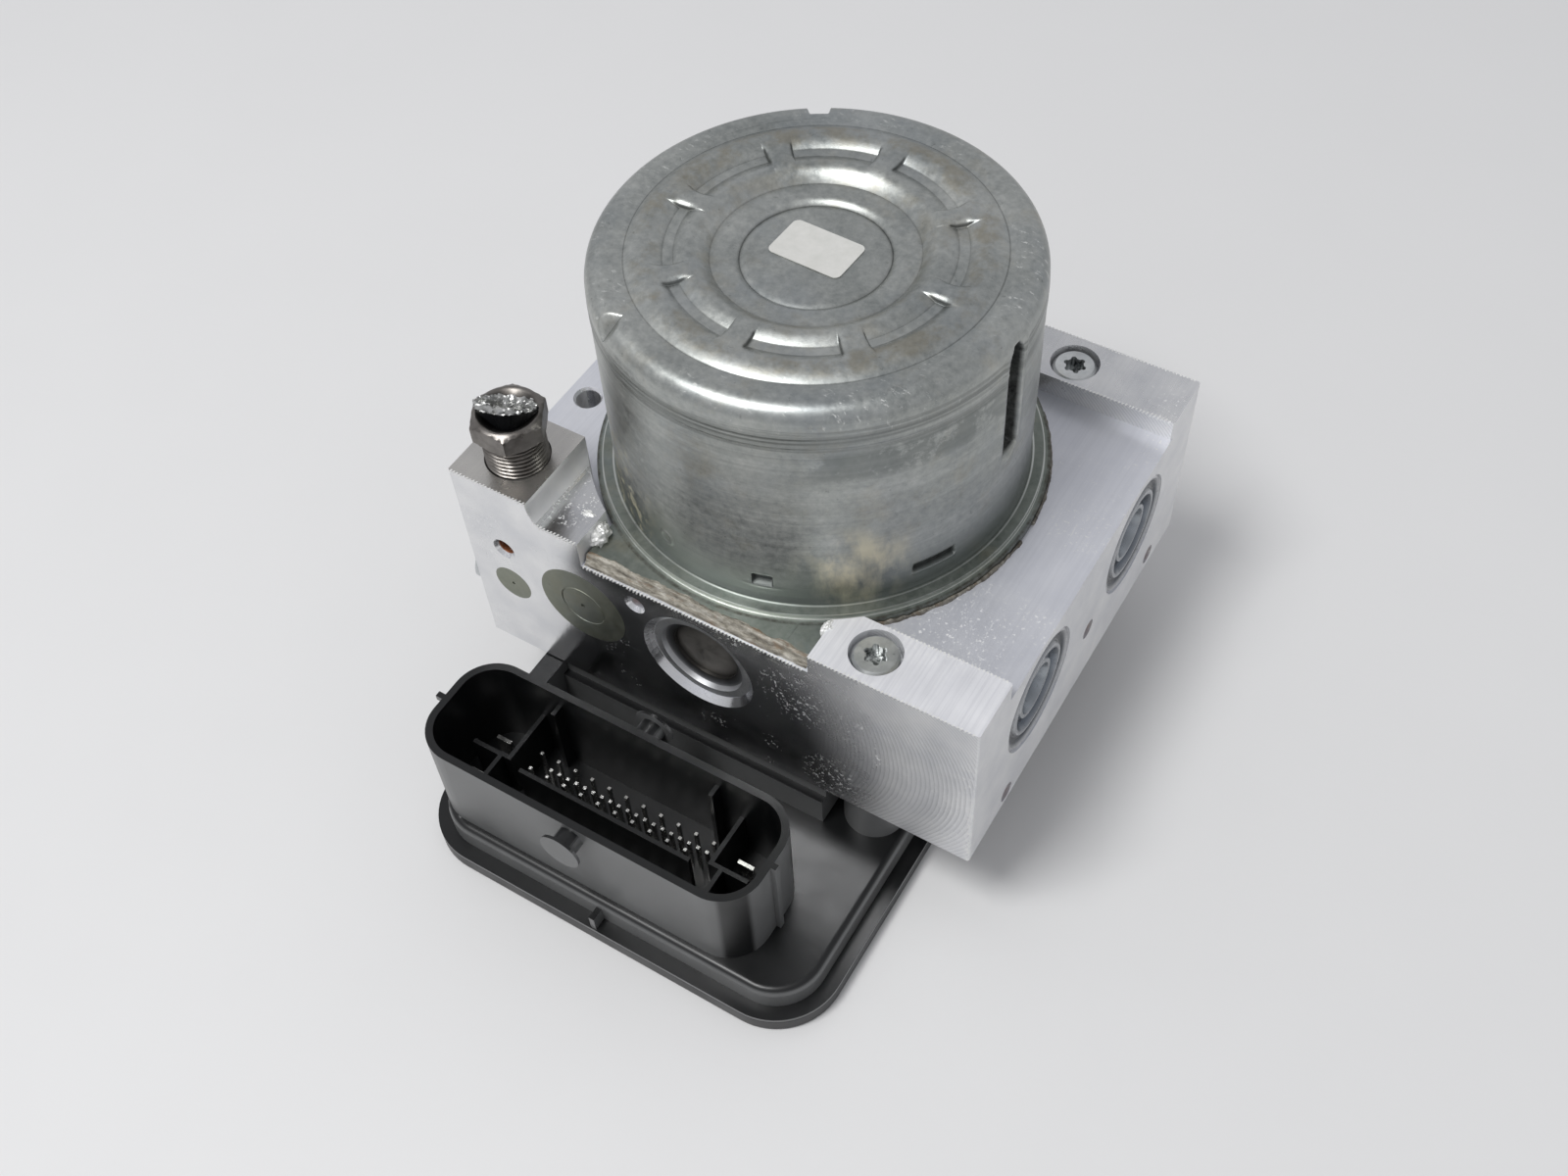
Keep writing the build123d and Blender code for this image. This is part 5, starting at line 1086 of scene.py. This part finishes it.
# ------------------------------------------------------------------ one operator for each group of pieces
# the finish of each solid that stays as it is; all others are ground steel
node_finish = {
    "motor_flange": "zinc_plated_stamped_steel",
    "large_plugs": "zinc_pressed_plug",
    "small_plugs": "zinc_pressed_plug",
    "sealing_balls": "copper_plated_ball",
    "pump_plug_front": "steel_turned_pump_plug",
    "pump_plug_back": "steel_turned_pump_plug",
    "accumulator_cap_near": "steel_pressed_stepped_cap",
    "accumulator_cap_far": "steel_pressed_stepped_cap",
    "accumulator_piston_near": "aluminium_anodised",
    "accumulator_piston_far": "aluminium_anodised",
    "armature_core": "steel_laminations",
    "armature_winding": "copper_enamelled",
    "commutator": "copper_enamelled",
    "motor_magnets": "ferrite_sintered",
    "carbon_brushes": "carbon_pressed",
    "brush_holder": "polyamide_holder_moulded",
    "motor_contact": "polyamide_holder_moulded",
    "circuit_board": "glass_epoxy_board",
    "ecu_gasket": "nitrile_gasket",
    "can_label": "paper_label_satin",
    "signal_pins": "tin_plated_copper",
    "power_blades": "tin_plated_copper",
    "valve_coils": "epoxy_cast_coil",
    "ecu_screws": "zinc_plated_fastener",
    "upper_bush": "bronze_sintered",
    "outlet_stub": "pipe_torn_steel",
}


# each spring: the piston it follows, its axis (0 is X, 1 is Y) and the side of its held end
spring_ends = {
    "pump_spring_front": ("pump_piston_front", 1, -1),
    "pump_spring_back": ("pump_piston_back", 1, 1),
    "accumulator_spring_near": ("accumulator_piston_near", 0, 1),
    "accumulator_spring_far": ("accumulator_piston_far", 0, 1),
}


class BrakePiece:
    """What every operator of this panel shares."""
    bl_options = {"REGISTER", "UNDO"}


class BRAKE_OT_solids(BrakePiece, bpy.types.Operator):
    """Give each solid that stays as it is its finish"""
    bl_idname = "brake.solids"
    bl_label = "Finish the solids"

    def execute(self, context):
        for name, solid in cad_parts.items():
            solid.data.materials.clear()
            solid.data.materials.append(get_material(node_finish.get(name, "steel_ground")))
        return {"FINISHED"}


class BRAKE_OT_can(BrakePiece, bpy.types.Operator):
    """Build the drawn motor can with its groove, bead and recesses"""
    bl_idname = "brake.can"
    bl_label = "Motor can"

    def execute(self, context):
        sizes = context.scene.brake_can
        zinc = get_material("zinc_plated_drawn_steel")
        stand_for(can_shell(sizes), zinc, "zinc_plated_can", "motor_can")
        stand_for(can_crown(sizes), zinc, "zinc_plated_can", "motor_can")
        return {"FINISHED"}


class BRAKE_OT_block(BrakePiece, bpy.types.Operator):
    """Break the edges of the milled block and lay the burrs on them"""
    bl_idname = "brake.block"
    bl_label = "Milled block"

    def execute(self, context):
        sizes = context.scene.brake_edges
        metal = get_material("aluminium_face_milled")
        stand_for(merged_copy("hydraulic_block", "block_milled", sizes.break_width), metal,
                  "milled_aluminium", "hydraulic_block")
        torn = get_material("aluminium_torn_burr")
        stand_for(burrs(sizes), torn, "milled_aluminium")
        stand_for(staked_lumps(), torn, "milled_aluminium")
        stand_for(plate_corner(), get_material("zinc_plated_stamped_steel"), "zinc_plated_flange")
        return {"FINISHED"}


class BRAKE_OT_unit(BrakePiece, bpy.types.Operator):
    """Round the moulded edges of the control unit"""
    bl_idname = "brake.unit"
    bl_label = "Control unit"

    def execute(self, context):
        sizes = context.scene.brake_edges
        for part in ("housing", "cover"):
            piece = merged_copy("ecu_" + part, "unit_" + part, sizes.moulded_width)
            stand_for(piece, get_material(f"polyamide_{part}_moulded"), part + "_plastic", "ecu_" + part)
        return {"FINISHED"}


class BRAKE_OT_nuts(BrakePiece, bpy.types.Operator):
    """Build the pipe nuts and the sheared pipe"""
    bl_idname = "brake.nuts"
    bl_label = "Pipe nuts"

    def execute(self, context):
        sizes = context.scene.brake_nut
        stand_for(pipe_nut(sizes), get_material("steel_zinc_nickel_dark"), "phosphated_steel", "brake_nut")
        stand_for(outlet_nut(), get_material("zinc_plated_fastener"), "zinc_plated_nut", "outlet_nut")
        stub = pipe_stub()
        stand_for(stub, get_material("pipe_coating_black"), "sheared_pipe", "pipe_stub")
        stub.data.materials.append(get_material("pipe_torn_steel"))
        torn = np.zeros(len(stub.data.polygons), np.int32)
        torn[stub_coated_rows * stub_columns:] = 1
        stub.data.polygons.foreach_set("material_index", torn)
        return {"FINISHED"}


class BRAKE_OT_springs(BrakePiece, bpy.types.Operator):
    """Copy the coil springs and give them ground steel"""
    bl_idname = "brake.springs"
    bl_label = "Springs"

    def execute(self, context):
        for node, (piston, axis, side) in spring_ends.items():
            low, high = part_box(node)
            held = [(a + b) / 2 for a, b in zip(low, high)]
            moving = list(held)
            held[axis], moving[axis] = (high[axis], low[axis]) if side > 0 else (low[axis], high[axis])
            coil = closed_copy(node, node + "_coil")
            coil.data.materials.append(get_material("steel_ground"))
            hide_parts(node)
            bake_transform(coil)
        return {"FINISHED"}


class BRAKE_OT_sealant(BrakePiece, bpy.types.Operator):
    """Build the dried sealant beside the motor flange"""
    bl_idname = "brake.sealant"
    bl_label = "Sealant"

    def execute(self, context):
        stand_for(sealant_crust(), get_material("sealant_dried"), "sealant", "sealant_bead")
        return {"FINISHED"}


class BRAKE_OT_stage(BrakePiece, bpy.types.Operator):
    """Lay the table, hang the lamp and place the camera"""
    bl_idname = "brake.stage"
    bl_label = "Table, light and camera"

    def execute(self, context):
        scene = context.scene
        reach, under = 3000, -0.02
        corners = [(x * reach, y * reach, under) for x, y in ((-1, -1), (1, -1), (1, 1), (-1, 1))]
        floor = finish_mesh("table", corners, [[0, 1, 2, 3]])
        top = Surface("melamine_table_top", IOR=1.5)
        colour = scene.brake_colours.table
        pale = [min(1.0, c * 1.03) for c in colour]
        tone = add(top.tree, "Mix", 2, {"data_type": "RGBA"}, i0=top.noise(60, 3.0), i6=(*colour, 1),
                   i7=(*pale, 1))
        top.give(Base_Color=tone, Roughness=top.noise(20, 3.0).toned(0.3, 0.7, 0.42, 0.52))
        top.relief(top.noise(3.0, 2.0, 0.5), 0.02)
        floor.data.materials.append(top.material)

        lamp = bpy.data.lights.new("key", "AREA")
        lamp.size = 0.36
        lamp.energy = 7.8
        holder = bpy.data.objects.new("key", lamp)
        place, target = Vector((-0.206, -0.442, 1.096)), Vector((0, 0, 0.03))
        holder.location = place
        holder.rotation_euler = (target - place).to_track_quat("-Z", "Y").to_euler()
        scene.collection.objects.link(holder)

        # the room: palest half way up and darkest overhead
        world = bpy.data.worlds.new("room")
        scene.world = world
        world.use_nodes = True
        background = world.node_tree.nodes["Background"]
        direction = add(world.node_tree, "TexCoord", "Generated")
        upward = add(world.node_tree, "SeparateXYZ", "Z", Vector=direction)
        level = (upward * 0.5 + 0.5).toned(0.5, 1.0, "#C6C7CA", "#D6D7DB", "#B2B3B6")
        world.node_tree.links.new(level.socket, background.inputs["Color"])
        background.inputs["Strength"].default_value = 0.86

        lens = bpy.data.cameras.new("camera")
        lens.sensor_width = 36.0
        lens.lens = 38.323
        lens.clip_start = 0.01
        camera = bpy.data.objects.new("camera", lens)
        camera.location = (0.11493, -0.18511, 0.29722)
        camera.rotation_mode = "QUATERNION"
        camera.rotation_quaternion = Quaternion((0.913494, 0.305139, 0.105849, 0.247417))
        scene.collection.objects.link(camera)
        scene.camera = camera
        scene.view_settings.view_transform = "Standard"
        return {"FINISHED"}


operators = (BRAKE_OT_solids, BRAKE_OT_can, BRAKE_OT_block, BRAKE_OT_unit, BRAKE_OT_nuts, BRAKE_OT_springs,
             BRAKE_OT_sealant, BRAKE_OT_stage)


class BRAKE_PT_panel(bpy.types.Panel):
    """Sizes and pieces of the brake module"""
    bl_idname = "BRAKE_PT_panel"
    bl_label = "Brake module"
    bl_space_type = "VIEW_3D"
    bl_region_type = "UI"
    bl_category = "Brake module"

    def draw(self, context):
        layout = self.layout
        for name in ("brake_can", "brake_nut", "brake_edges", "brake_colours"):
            group = getattr(context.scene, name)
            box = layout.box()
            for prop in group.bl_rna.properties:
                if prop.identifier not in {"rna_type", "name"}:
                    box.prop(group, prop.identifier)
        for kind in operators:
            layout.operator(kind.bl_idname)


classes = (CanSizes, NutSizes, EdgeSizes, Colours, *operators, BRAKE_PT_panel)


def register():
    for kind in classes:
        bpy.utils.register_class(kind)
    bpy.types.Scene.brake_can = PointerProperty(type=CanSizes)
    bpy.types.Scene.brake_nut = PointerProperty(type=NutSizes)
    bpy.types.Scene.brake_edges = PointerProperty(type=EdgeSizes)
    bpy.types.Scene.brake_colours = PointerProperty(type=Colours)


def unregister():
    for name in ("brake_can", "brake_nut", "brake_edges", "brake_colours"):
        delattr(bpy.types.Scene, name)
    for kind in reversed(classes):
        bpy.utils.unregister_class(kind)


def main():
    register()
    for step in ("solids", "can", "block", "unit", "nuts", "springs", "sealant", "stage"):
        getattr(bpy.ops.brake, step)()


if __name__ == "__main__":
    main()
